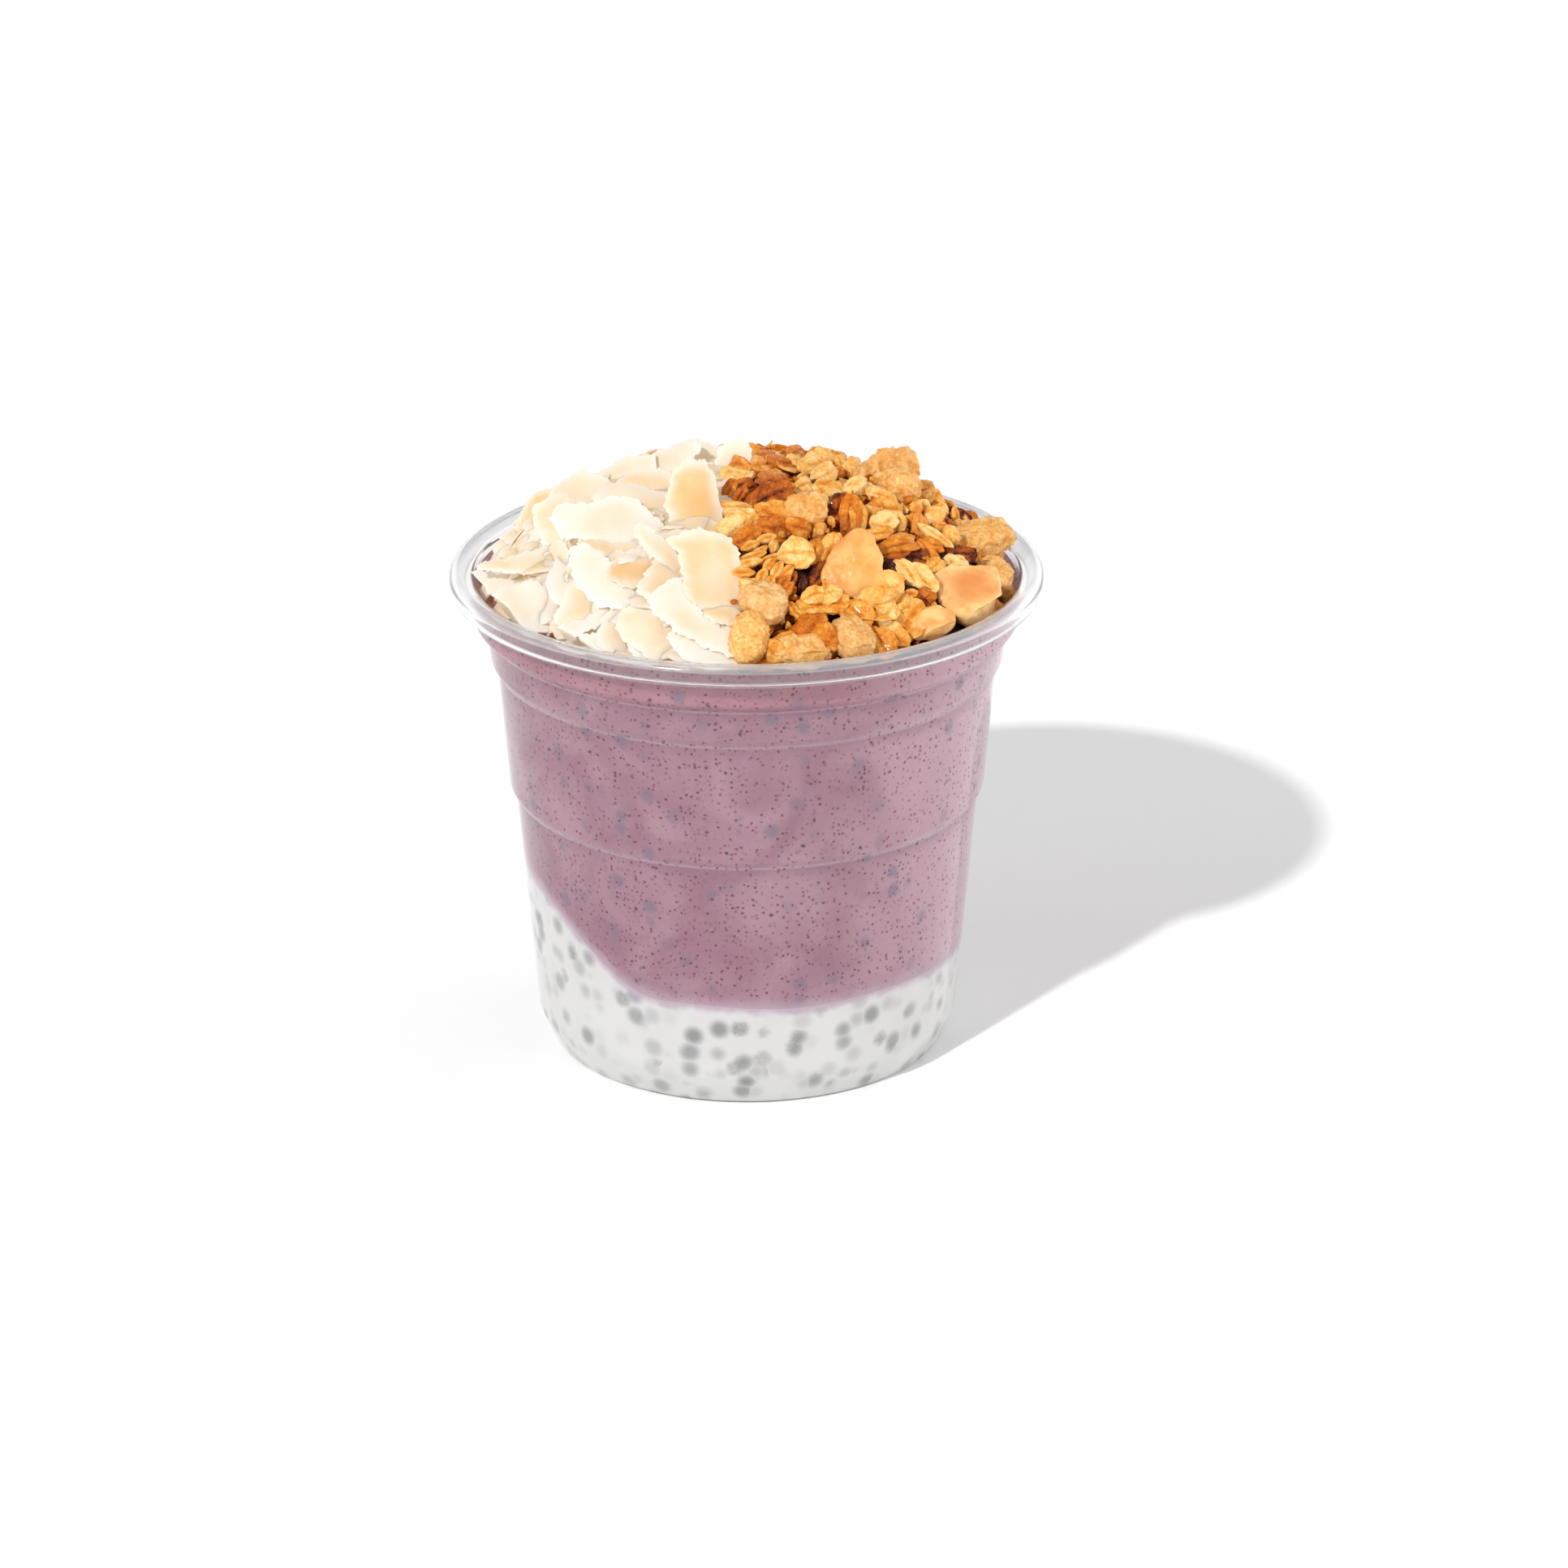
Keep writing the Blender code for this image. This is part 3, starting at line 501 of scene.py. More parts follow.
def closed_sheet(top, bottom):
    """Points and faces of the thin solid between two matching grids of points."""
    n, m = top.shape[:2]
    index = np.arange(n * m).reshape(n, m)
    up = np.stack([index[:-1, :-1], index[1:, :-1], index[1:, 1:], index[:-1, 1:]], -1).reshape(-1, 4)
    loop = np.concatenate([index[:-1, 0], index[-1, :-1], index[:0:-1, -1], index[0, :0:-1]])
    ahead = np.roll(loop, -1)
    side = np.stack([loop, loop + n * m, ahead + n * m, ahead], -1)
    faces = np.concatenate([up, up[:, ::-1] + n * m, side])
    return np.concatenate([top.reshape(-1, 3), bottom.reshape(-1, 3)]), faces


def thickened(points, thickness):
    """Top and bottom grids half a thickness to either side of a grid of points."""
    along = np.gradient(points, axis=0)
    across = np.gradient(points, axis=1)
    normal = np.cross(along, across)
    normal /= np.linalg.norm(normal, axis=2)[:, :, None] + 1e-9
    half = normal * thickness[:, :, None] / 2
    return points + half, points - half


def posed(points, at, spin, lean, facing):
    """Turned in its own plane, leant towards -Y, turned to face a way, then moved there."""
    turn = Matrix.Rotation(math.radians(facing), 3, "Z") @ Matrix.Rotation(math.radians(lean), 3, "X")
    turn = np.array(turn @ Matrix.Rotation(math.radians(spin), 3, "Z"))
    return points @ turn.T + np.array(at)


def kept_inside(points):
    """Points in mm moved in where they would reach through the cup's wall or into the yogurt."""
    x, y, z = points.T
    rho = np.maximum(np.hypot(x, y), 1e-6)
    most = INSIDE_WALL + LIP_FLARE * np.clip(z - LIP_HEIGHT, 0, 10)
    pull = np.minimum(1, most / rho)
    return np.stack([x * pull, y * pull, np.maximum(z, LOWEST)], -1)


def gathered(name, solids, material):
    """One piece made of many small solids in mm, with their tints as a colour attribute."""
    points, faces, tints, start = [], [], [], 0
    for own_points, own_faces, own_tints in solids:
        points.append(kept_inside(own_points) * MM)
        faces += (own_faces + start).tolist()
        tints.append(own_tints)
        start += len(own_points)
    mesh = bpy.data.meshes.new(name)
    mesh.from_pydata(np.concatenate(points).tolist(), [], faces)
    tint = mesh.color_attributes.new("tint", "FLOAT_COLOR", "POINT")
    rows = np.concatenate(tints)
    tint.data.foreach_set("color", np.column_stack([rows, np.ones(len(rows))]).ravel())
    mesh.shade_smooth()
    mesh.set_sharp_from_angle(angle=math.radians(55))
    mesh.materials.append(material)
    return in_scene(name, mesh)


def bed(name, sign, depth, reach, material, relief):
    """The mound under one heap, from the split line out to a reach, a depth under the heap's top."""
    y = np.linspace(-1, 1, 110)[:, None] * (reach - 0.3)
    u = np.linspace(0, 1, 70)[None, :]
    start = split_line(y) + sign * 0.15
    wall = sign * np.sqrt(reach ** 2 - y ** 2)
    x = start + u * (wall - start)
    flat = np.stack([x, y + 0 * x, 0 * x], -1)
    rho = np.hypot(x, y) / reach
    foot_width = 0.12
    settle = np.clip((1 - rho) / foot_width, 0, 1)
    settle = settle * settle * (3 - 2 * settle)
    top_z = heap_top(x, y) - depth + relief * (swell(flat, 5.0, 3) + 0.5 * swell(flat, 2.2, 4))
    z = MOUND_FOOT + (top_z - MOUND_FOOT) * settle
    top = np.stack([x, y + 0 * x, z], -1)
    bottom = np.stack([x, y + 0 * x, 0 * x + MOUND_FOOT], -1)
    if sign < 0:
        top, bottom = top[::-1], bottom[::-1]
    points, faces = closed_sheet(top, bottom)
    return gathered(name, [(points, faces, np.tile([0.6, 0.0, 0.5], (len(points), 1)))], material)


def softened(rail, count):
    """An edge's corners as evenly spread points, with the corners eased."""
    corners = rail.astype(float)
    run = np.concatenate([[0], np.cumsum(np.linalg.norm(np.diff(corners, axis=0), axis=1))])
    at = np.linspace(0, run[-1], count)
    points = np.stack([np.interp(at, run, corners[:, k]) for k in (0, 1)], -1)
    for _ in range(3):
        points[1:-1] = (points[:-2] + 2 * points[1:-1] + points[2:]) / 4
    return points


def sawn(count, run, draw):
    """Fine unevenness in mm along a cut edge of a length in mm."""
    at = np.linspace(0, run, count)
    waves = ((5.0, 0.22), (2.4, 0.19), (1.4, 0.16), (0.95, 0.12))
    return sum(high * draw.uniform(0.4, 1) * np.sin(FULL_TURN * at / long + draw.uniform(0, FULL_TURN))
               for long, high in waves)


def shaving(first, second, seed, step, curl, warmth, thick=0.45):
    """A thin shaving between two edges in mm, and its tint: warmth, how near the edge, random."""
    draw = np.random.default_rng(seed)
    first, second = np.reshape(first, (-1, 2)), np.reshape(second, (-1, 2))
    length = np.linalg.norm(np.diff(first, axis=0), axis=1).sum()
    width = np.linalg.norm(first.mean(axis=0) - second.mean(axis=0))
    n, m = max(int(length / step), 9), max(int(width / step), 6)
    left, right = softened(first, n), softened(second, n)
    across = left - right
    wide = np.linalg.norm(across, axis=1)[:, None] + 1e-6
    left = left + across / wide * sawn(n, length, draw)[:, None]
    right = right + across / wide * sawn(n, length, draw)[:, None]
    s, t = np.linspace(-1, 1, n)[:, None], np.linspace(-1, 1, m)[None, :]
    flat = left[:, None] + (t[..., None] + 1) / 2 * (right - left)[:, None]
    for end, beside in ((0, 2), (-1, -3)):
        way = flat[end].mean(axis=0) - flat[beside].mean(axis=0)
        bulge = 0.16 * wide[end] * (1 - t[0] ** 2) + sawn(m, width, draw)
        fade = np.exp(-np.abs(np.arange(n) - (n - 1) * (end == -1)) * step / 1.2)
        flat = flat + fade[:, None, None] * bulge[None, :, None] * way / (np.linalg.norm(way) + 1e-6)
    z = -curl[0] * length * (s * s - 0.3) - curl[1] * width * (t * t - 0.3) + curl[2] * width * s * t
    points = np.concatenate([flat, z[..., None]], -1)
    points[:, :, 2] += 0.28 * swell(points, 8.0, seed) + 0.05 * swell(points, 2.4, seed + 1)
    edge = np.maximum(np.abs(s) + 0 * t, np.abs(t) + 0 * s)
    inward = np.minimum((1 - np.abs(s)) * length, (1 - np.abs(t)) * width) / 2
    top, bottom = thickened(points, thick * (1 - 0.45 * edge ** 6))
    solid, faces = closed_sheet(top, bottom)
    rim = np.clip(1 - inward / 2.2, 0, 1)
    tint = np.stack([0 * edge + warmth, rim, 0 * edge + draw.uniform(0, 1)], -1).reshape(-1, 3)
    return solid, faces, np.concatenate([tint, tint])


def random_edges(length, width, draw):
    """Two long edges of a shaving: bowed, uneven and drawn in at the ends."""
    s = np.linspace(-1, 1, 6)
    bow = draw.uniform(-0.1, 0.1) * length * s * s
    edges = []
    for side in (1, -1):
        half = width / 2 * (1 - draw.uniform(0.1, 0.8) * np.abs(s) ** 3) * draw.uniform(0.85, 1.12, 6)
        edges.append(np.stack([s * length / 2, bow + side * half], -1))
    return edges


def tint_parts(tree):
    """The three values of a piece's own tint, as Red, Green and Blue."""
    tint = add_node(tree, "Attribute", attribute_name="tint")
    return add_node(tree, "SeparateColor", {"Color": tint.outputs["Color"]}).outputs


# Raw coconut, shaved: satin and a little see-through, cool white at the thin rims, cream to peach
# where it is thick. Its fibres are about 0.7 mm apart. A faint glow stands for light that passes on
coconut_white, tree, shader = new_material("coconut_flesh")
place = millimetres(tree)
parts = tint_parts(tree)
cloud = add_node(tree, "TexNoise", {"Vector": place, "Scale": 0.14, "Detail": 1.0})
drift = add_node(tree, "Math", {0: cloud.outputs["Fac"], 1: 0.8, 2: -0.45}, operation="MULTIPLY_ADD")
warm = add_node(tree, "Math", {0: parts["Red"], 1: drift.outputs[0]}, operation="ADD",
                use_clamp=True)
deeper = add_node(tree, "Mix", {0: parts["Blue"], 6: srgb("d8b26a"), 7: srgb("d4a46a")},
                  data_type="RGBA").outputs[2]
colour = add_node(tree, "Mix", {0: warm.outputs[0], 6: srgb("ddd7ce"), 7: deeper},
                  data_type="RGBA").outputs[2]
rim = add_node(tree, "MapRange", {"Value": parts["Green"], "From Min": 0.1, "From Max": 1.0, "To Max": 0.55},
               interpolation_type="SMOOTHSTEP")
colour = add_node(tree, "Mix", {0: rim.outputs[0], 6: colour, 7: srgb("dfd9d8")},
                  data_type="RGBA").outputs[2]
fibre = add_node(tree, "TexNoise", {"Vector": place, "Scale": 1.4, "Detail": 3.0})
bump = add_node(tree, "Bump", {"Height": fibre.outputs["Fac"], "Strength": 0.2, "Distance": 0.2 * MM})
feed(tree, shader, {"Base Color": colour, "Normal": bump.outputs[0], "Roughness": 0.45,
                    "Subsurface Weight": 0.6, "Subsurface Radius": (1.0, 0.92, 0.8),
                    "Subsurface Scale": 1.0 * MM, "Emission Color": srgb("f6dfa6"),
                    "Emission Strength": 0.11})

# The same flesh deep in the gaps, painted honey yellow and given a painted glow for the light that bounces
# between shavings
# Painted light: honey-yellow colour and glow in the gaps between shavings
coconut_painted_glow, tree, shader = new_material("coconut_flesh_painted_glow")
place = millimetres(tree)
cloud = add_node(tree, "TexNoise", {"Vector": place, "Scale": 0.3})
colour = add_node(tree, "Mix", {0: cloud.outputs["Fac"], 6: srgb("e2b468"), 7: srgb("e8c98c")},
                  data_type="RGBA").outputs[2]
feed(tree, shader, {"Base Color": colour, "Roughness": 0.5, "Emission Color": srgb("f5b24a"),
                    "Emission Strength": 0.16})

coconut_bed = bed("coconut_bed", sign=-1, depth=1.6, reach=36.5, material=coconut_painted_glow, relief=0.3)
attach(coconut_bed, "root")

# Shavings seen from the front, in mm and degrees: across, deep, height, lean, facing, warmth, and
# the corners of the two long edges, as x and y by turns
FRONT_SHAVINGS = (
    (-2.3, 10.8, 92.6, 60, -5, 0.35, (-2.9, 6.4, -3.2, 1.2, -2.7, -4.2, -1.9, -8.0),
     (2.4, 7.6, 3.3, 3.7, 2.9, -0.2, 2.1, -6.4)),
    (-7.8, 17.4, 95.9, 45, 0, 0.25, (-1.7, 2.8, -0.2, 3.1, 1.5, 2.1),
     (-2.6, -2.6, -0.2, -3.5, 3.2, -1.8)),
    (-13.2, 11.7, 96.6, 40, -8, 0.30, (-4.4, -1.2, -3.5, 0.9, 0.1, 2.9, 3.7, 4.9),
     (-2.9, -3.6, -0.7, -3.1, 2.4, -2.5, 5.2, 1.8)),
    (-20.2, 9.5, 95.4, 38, -15, 0.35, (-4.3, -0.6, -3.0, 0.8, -0.9, 2.8, 4.0, 4.0),
     (-2.5, -3.0, -0.2, -2.4, 2.2, -1.3, 4.8, -0.3)),
    (-16.5, 1.0, 96.4, 40, 0, 0.65, (-4.8, 0.5, -2.3, 2.2, 0.7, 2.9, 5.1, 2.0),
     (-4.5, -0.9, -0.9, -1.6, 2.1, -2.3, 4.5, -2.8)),
    (-17.8, -6.1, 95.8, 32, 0, 0.35, (-5.6, 3.4, -1.6, 3.7, 2.2, 2.4, 6.3, 1.6),
     (-7.0, -1.0, -2.6, -0.3, 1.5, -4.1, 6.7, -5.8)),
    (-26.9, 1.2, 94.7, 36, -25, 0.35, (-5.3, -0.4, -3.8, 2.7, -1.8, 4.4, 1.4, 3.8, 4.5, 2.5),
     (-5.0, -3.7, -1.1, -3.4, 2.0, -3.4, 4.1, -2.5, 5.0, -0.1)),
    (-36.7, 4.9, 88.0, 45, -45, 0.85, (-2.4, 4.7, -1.7, 1.8, -1.1, -0.9, -1.5, -3.9, -2.6, -7.1),
     (2.9, 8.3, 2.4, 4.8, 3.2, 0.9, 1.9, -1.3, -1.2, -7.4)),
    (-31.2, -9.0, 92.2, 40, -30, 0.55, (-5.6, 2.2, -3.8, -0.1, -1.8, -2.5, 0.7, -4.4),
     (-1.1, 6.5, 2.8, 2.7, 4.8, -0.9, 4.1, -3.5)),
    (-22.7, -16.1, 95.0, 36, 0, 0.20, (-9.1, 1.6, -7.4, 4.6, -3.6, 4.1, 0.2, 5.5, 4.2, 5.7, 7.8, 2.3,
                                       11.2, -1.8),
     (-7.9, 0.3, -7.1, -2.4, -4.3, -2.9, -1.1, -4.0, 2.6, -4.1, 4.9, -5.2, 9.7, -3.4)),
    (-22.8, -20.9, 92.7, 32, 0, 0.70, (-4.2, 2.6, 0.1, 1.6, 6.0, 0.9),
     (-3.2, -0.8, -0.4, -1.4, 1.8, -2.9)),
    (-8.4, -11.7, 97.2, 56, 6, 0.80, (-3.1, 5.6, -4.0, 2.9, -4.9, -0.0, -4.0, -3.1, -3.8, -7.1),
     (2.3, 7.2, 3.5, 4.6, 4.2, 1.2, 4.6, -3.4, 5.0, -7.8)),
    (-35.5, -14.1, 88.0, 32, -15, 0.40, (-8.2, -0.5, -4.7, 0.4, -1.1, 1.6, 2.9, 3.8, 6.7, 6.5),
     (-7.7, -2.2, -3.9, -2.5, -0.0, -2.6, 5.3, -2.6, 10.7, -1.8)),
    (-39.4, -12.3, 84.2, 34, -25, 0.30, (-6.6, 0.5, -5.2, 1.5, -1.5, 0.9, 2.3, 1.8, 7.4, 2.5),
     (-4.8, -2.4, -2.6, -3.5, -0.0, -2.5, 3.3, -0.5, 7.7, 1.8)),
    (-35.2, -22.2, 83.8, 38, -22, 0.25, (-8.5, -0.5, -4.8, 2.4, -1.2, 4.5, 3.7, 2.8, 6.5, 5.0),
     (-7.0, -2.0, -3.2, -3.7, 2.1, -5.9, 5.4, -5.0, 6.9, 2.4)),
    (-26.4, -28.5, 86.8, 36, 0, 0.45, (-0.5, 4.6, -2.0, 2.0, -3.3, -1.0, -4.4, -4.2),
     (0.9, 3.0, 2.5, 0.7, 4.5, -1.4, 2.2, -3.7)),
    (-21.0, -29.1, 89.9, 38, 0, 0.20, (-7.2, 6.7, -7.1, 2.5, -5.9, -0.9, -2.6, -4.3, 1.7, -5.0, 7.2, -4.7),
     (-2.8, 6.5, -0.6, 4.4, 1.3, 1.7, 3.1, -0.7, 5.2, -2.4, 7.5, -3.6)),
    (-18.3, -28.0, 91.5, 30, 0, 1.00, (-3.4, 0.3, -2.0, 3.7, 1.1, 3.4, 4.4, 2.2),
     (-3.8, -1.2, -1.3, -3.3, 1.6, -3.5, 3.3, -1.6)),
    (-13.3, -27.2, 94.1, 42, 8, 0.50, (-3.5, 6.0, -1.0, 4.5, 1.7, 1.4, 3.6, -1.4, 3.8, -4.0),
     (-4.1, 3.8, -2.9, 1.1, -1.3, -0.8, 0.9, -3.9, 2.9, -6.6)),
    (-13.6, -31.2, 91.2, 34, 0, 0.60, (-1.1, 4.0, -2.3, 1.1, -4.1, -1.2, -1.5, -4.3),
     (0.6, 3.3, 2.7, 1.1, 4.1, -0.7, 1.6, -3.2)),
    (-17.5, -25.3, 93.0, 30, 0, 0.45, (-2.9, -1.7, -1.3, 0.6, 1.1, 3.1),
     (-1.0, -1.5, 1.0, -0.9, 3.2, 0.3)),
    (-5.6, -32.1, 92.5, 44, 10, 0.75, (-6.2, 6.7, -4.5, 3.5, -4.6, -0.6, -4.4, -3.5, -3.8, -5.8),
     (4.0, 6.0, 5.0, 3.7, 5.1, -0.1, 5.0, -3.3, 4.3, -6.6)),
    (-8.5, -38.2, 87.5, 42, 5, 0.30, (-5.5, 5.0, -7.1, 3.1, -5.1, -0.2, -2.6, -2.9, 1.1, -5.1, 5.9, -7.6),
     (-1.1, 7.2, -0.4, 4.4, 0.7, 1.9, 2.5, -0.5, 4.6, -1.8, 6.9, -3.4)),
    (-5.0, -37.1, 87.9, 34, 5, 0.85, (-4.0, 2.9, -0.5, 1.7, 3.6, 1.2),
     (-3.1, -0.5, 0.3, -2.2, 3.7, -3.1)),
    (-24.4, -33.1, 84.8, 38, -8, 0.30, (-6.1, -1.2, -3.6, -0.4, -0.8, 1.0, 1.9, 2.8, 5.8, 3.9),
     (-4.2, -4.7, -2.2, -3.2, 0.3, -1.5, 2.9, 0.7, 5.9, 2.7)),
    (-21.3, -35.3, 84.0, 44, 0, 0.45, (-1.6, 2.4, -2.2, -0.1, -2.5, -2.3),
     (2.0, 3.6, 1.9, -0.1, 2.5, -3.6)),
    (-15.6, -38.0, 84.6, 42, 0, 0.40, (-4.2, 3.9, -5.1, 1.3, -4.0, -1.1, -1.3, -3.1, 0.9, -5.2),
     (-1.1, 4.4, 2.3, 3.6, 4.6, 1.5, 5.5, -1.0, 2.3, -4.4)),
    (-20.7, -37.6, 81.4, 42, 0, 0.40, (-5.8, 2.8, -3.2, 3.6, -0.2, 1.5, 2.7, 0.2, 5.0, -1.6),
     (-4.4, 0.4, -1.9, -0.8, 0.4, -1.4, 2.7, -2.1, 4.7, -2.7)),
    (-17.2, -39.5, 82.3, 50, 0, 0.10, (-2.4, 2.0, -1.1, -0.2, 0.6, -2.5),
     (-0.8, 2.4, 1.1, 0.6, 2.7, -2.3)),
    (-6.9, -41.9, 82.9, 46, 5, 0.20, (-5.1, 3.4, -2.6, 3.4, 0.2, 1.8, 2.6, 0.7, 5.2, -0.6),
     (-4.2, 0.5, -2.5, -1.3, -0.5, -2.3, 1.8, -3.1, 5.3, -2.5)),
    (-11.7, -40.8, 82.1, 42, 0, 0.35, (-2.4, 0.0, -0.7, 1.5, 1.6, 2.6),
     (-1.7, -1.0, 0.5, -1.0, 2.7, -2.1)),
)
# The others, at random: between those in front, all over the back and low on the left side
FILLER_SHAVINGS = 95
FILLER_REACH = 39.5
BACK_SHAVINGS = 112
BACK_REACH = 41.5
SIDE_SHAVINGS = 24
OUTSIDE = 60.0
FINE_STEP = 0.42
COARSE_STEP = 0.75


def random_shaving(seed, widest):
    """A shaving 10 to 17 mm long, as its points, faces and tint."""
    edges = random_edges(draw.uniform(10, 17), draw.uniform(6, widest), draw)
    curl = draw.uniform((-0.02, -0.02, -0.1), (0.07, 0.1, 0.1))
    return shaving(*edges, seed, COARSE_STEP, curl, draw.uniform(0.2, 0.8))


shavings = []
for i, (x, y, z, lean, facing, warmth, first, second) in enumerate(FRONT_SHAVINGS):
    draw = np.random.default_rng(900 + i)
    curl = draw.uniform((-0.01, 0.0, -0.06), (0.05, 0.09, 0.06))
    points, faces, tint = shaving(first, second, 100 + i, FINE_STEP, curl, warmth)
    shavings.append((posed(points, (x, y, z), spin=0, lean=lean, facing=facing), faces, tint))
draw = np.random.default_rng(5)
for i in range(FILLER_SHAVINGS):
    x = y = OUTSIDE
    while math.hypot(x, y) > FILLER_REACH or x > split_line(y) - 4:
        x, y = draw.uniform(-40, 0), draw.uniform(-40, 40)
    points, faces, tint = random_shaving(300 + i, widest=10)
    deep = 1.2 if y < 14 else draw.uniform(1.4, 2.2)
    lean = slope(x, y) + draw.uniform(-8, 12)
    points = posed(points, (x, y, heap_top(x, y) - deep), draw.uniform(-90, 90), lean, outward(x, y))
    shavings.append((points, faces, tint))
for i in range(BACK_SHAVINGS + SIDE_SHAVINGS):
    x = y = OUTSIDE
    if i < BACK_SHAVINGS:
        while math.hypot(x, y) > BACK_REACH or x > split_line(y) - 2 or y < 6 - 0.4 * (x + 40):
            x, y = draw.uniform(-42, 0), draw.uniform(-10, 42)
    else:
        while not 33 < math.hypot(x, y) < FILLER_REACH:
            x, y = draw.uniform(-42, -12), draw.uniform(-36, 0)
    points, faces, tint = random_shaving(600 + i, widest=9)
    lean = slope(x, y) + draw.uniform(-8, 10)
    at = (x, y, heap_top(x, y) - draw.uniform(0.8, 1.8))
    points = posed(points, at, draw.uniform(-90, 90), lean, outward(x, y))
    shavings.append((points, faces, tint))
coconut = gathered("coconut_shavings", shavings, coconut_white)
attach(coconut, "root")
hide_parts("coconut_flakes")

# Granola
# Rolled oats baked with honey into clusters, with puffed grains and bits between them, thrown on
# the yogurt in a heap. Those in front each have a place, a size and a toast of their own; the
# others lie in layers under and behind them, painted darker the deeper they lie as shade, over a
# mound of sticky crumb painted dark as shade.

# Honey baked to a syrup: glossy red-brown, painted dark as the shade deep in the gaps
syrup_painted_shade, tree, shader = new_material("granola_syrup_painted_shade")
place = millimetres(tree)
cloud = add_node(tree, "TexNoise", {"Vector": place, "Scale": 0.7, "Detail": 4.0})
colour = add_node(tree, "Mix", {0: cloud.outputs["Fac"], 6: srgb("280901"), 7: srgb("662806")},
                  data_type="RGBA").outputs[2]
bump = add_node(tree, "Bump", {"Height": cloud.outputs["Fac"], "Strength": 0.8, "Distance": 0.6 * MM})
feed(tree, shader, {"Base Color": colour, "Normal": bump.outputs[0], "Roughness": 0.3})

# Painted shade: the dark mound shows through the gaps between the pieces
granola_bed = bed("granola_bed", sign=1, depth=4.2, reach=43.4, material=syrup_painted_shade, relief=0.7)
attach(granola_bed, "root")


def oat(length, width, seed, toast, fine=1):
    """One rolled oat in mm: a ruffled oval flake with a crease. Tint: toast, crease, how far out."""
    draw = np.random.default_rng(seed)
    s = np.linspace(-1, 1, 11 + 8 * fine)[:, None]
    t = np.linspace(-1, 1, 8 + 6 * fine)[None, :]
    x = s * np.sqrt(1 - t * t / 2)
    y = t * np.sqrt(1 - s * s / 2)
    radius = x * x + y * y
    angle = np.arctan2(y, x)
    outline = 1 + sum(radius * high * draw.uniform(0.4, 1) * np.sin(k * angle + draw.uniform(0, FULL_TURN))
                      for k, high in ((2, 0.09), (3, 0.07), (6, 0.04), (11, 0.03)))
    dish = draw.uniform(-0.14, 0.28) * width
    warp = draw.uniform(-0.12, 0.12) * width
    ruffle = np.sin(draw.choice((2, 3)) * angle + draw.uniform(0, FULL_TURN)) * radius ** 2
    bow = draw.uniform(-0.08, 0.08) * length
    z = dish * y * y + warp * x * y + bow * x * x + 0.09 * width * ruffle
    crease = np.exp(-((y - 0.15 * np.sin(2.2 * x + seed)) / 0.15) ** 2) * (1 - x * x)
    thick = 1.25 - 0.9 * radius ** 1.5
    flat = np.stack([x * outline * length / 2, y * outline * width / 2, z], -1)
    rough = 0.12 * swell(flat, 2.2, seed) + 0.05 * swell(flat, 0.8, seed + 2)
    top, bottom = flat.copy(), flat.copy()
    top[:, :, 2] += thick / 2 - 0.22 * crease + rough
    bottom[:, :, 2] -= thick / 2 - 0.2 * crease + rough
    points, faces = closed_sheet(top, bottom)
    tint = np.stack([0 * x + toast, crease, radius], -1).reshape(-1, 3)
    return points, faces, np.concatenate([tint, tint])


def ball(segments, rings):
    """Points and triangles of a unit ball."""
    theta = np.linspace(0, math.pi, rings + 1)[1:-1, None]
    phi = np.linspace(0, 2 * math.pi, segments, endpoint=False)[None, :]
    grid = np.stack([np.sin(theta) * np.cos(phi), np.sin(theta) * np.sin(phi),
                     np.cos(theta) + 0 * phi], -1).reshape(-1, 3)
    points = np.concatenate([grid, [[0, 0, 1.0], [0, 0, -1.0]]])
    around = np.arange(segments)
    ahead = np.roll(around, -1)
    top, last = len(grid), len(grid) + 1
    faces = [np.stack([around * 0 + top, around, ahead], -1)]
    for k in range(rings - 2):
        low, high = k * segments, (k + 1) * segments
        faces.append(np.stack([low + around, high + around, high + ahead], -1))
        faces.append(np.stack([low + around, high + ahead, low + ahead], -1))
    low = (rings - 2) * segments
    faces.append(np.stack([around * 0 + last, low + ahead, low + around], -1))
    return points, np.concatenate(faces)


def bit(size, seed, rough, toast, segments=12, square=0.8):
    """An uneven rounded bit in mm. Tint: toast, hollowness, nothing."""
    points, faces = ball(segments, segments * 2 // 3)
    points = np.sign(points) * np.abs(points) ** square
    field = sum(high * swell(points, wave, seed + k)
                for k, (wave, high) in enumerate(((1.6, 1.0), (0.7, 0.5), (0.35, 0.2))))
    points = points * (1 + rough * field)[:, None] * np.array(size) / 2
    tint = np.stack([0 * field + toast, np.clip(-0.5 * field, 0, 1), 0 * field], -1)
    return points, faces, tint


def grain(length, width, seed, toast):
    """A slender puffed grain in mm with a crease. Tint: toast, crease, how far along."""
    points, faces = ball(12, 12)
    turned_ball = points[:, [2, 1, 0]] * np.array([1, 1, -1])
    along, across = turned_ball[:, 0], turned_ball[:, 1]
    shape = turned_ball * np.array([length, width, width * 0.9]) / 2
    shape[:, 1] *= 1 - 0.25 * along ** 2
    crease = np.exp(-(across / 0.3) ** 2) * (shape[:, 2] > 0) * (1 - along ** 2)
    shape[:, 2] += 0.06 * length * along ** 2 - 0.16 * width * crease
    shape = shape + 0.08 * swell(shape, 2.0, seed)[:, None]
    return shape, faces, np.stack([0 * along + toast, crease, np.abs(along) ** 2], -1)


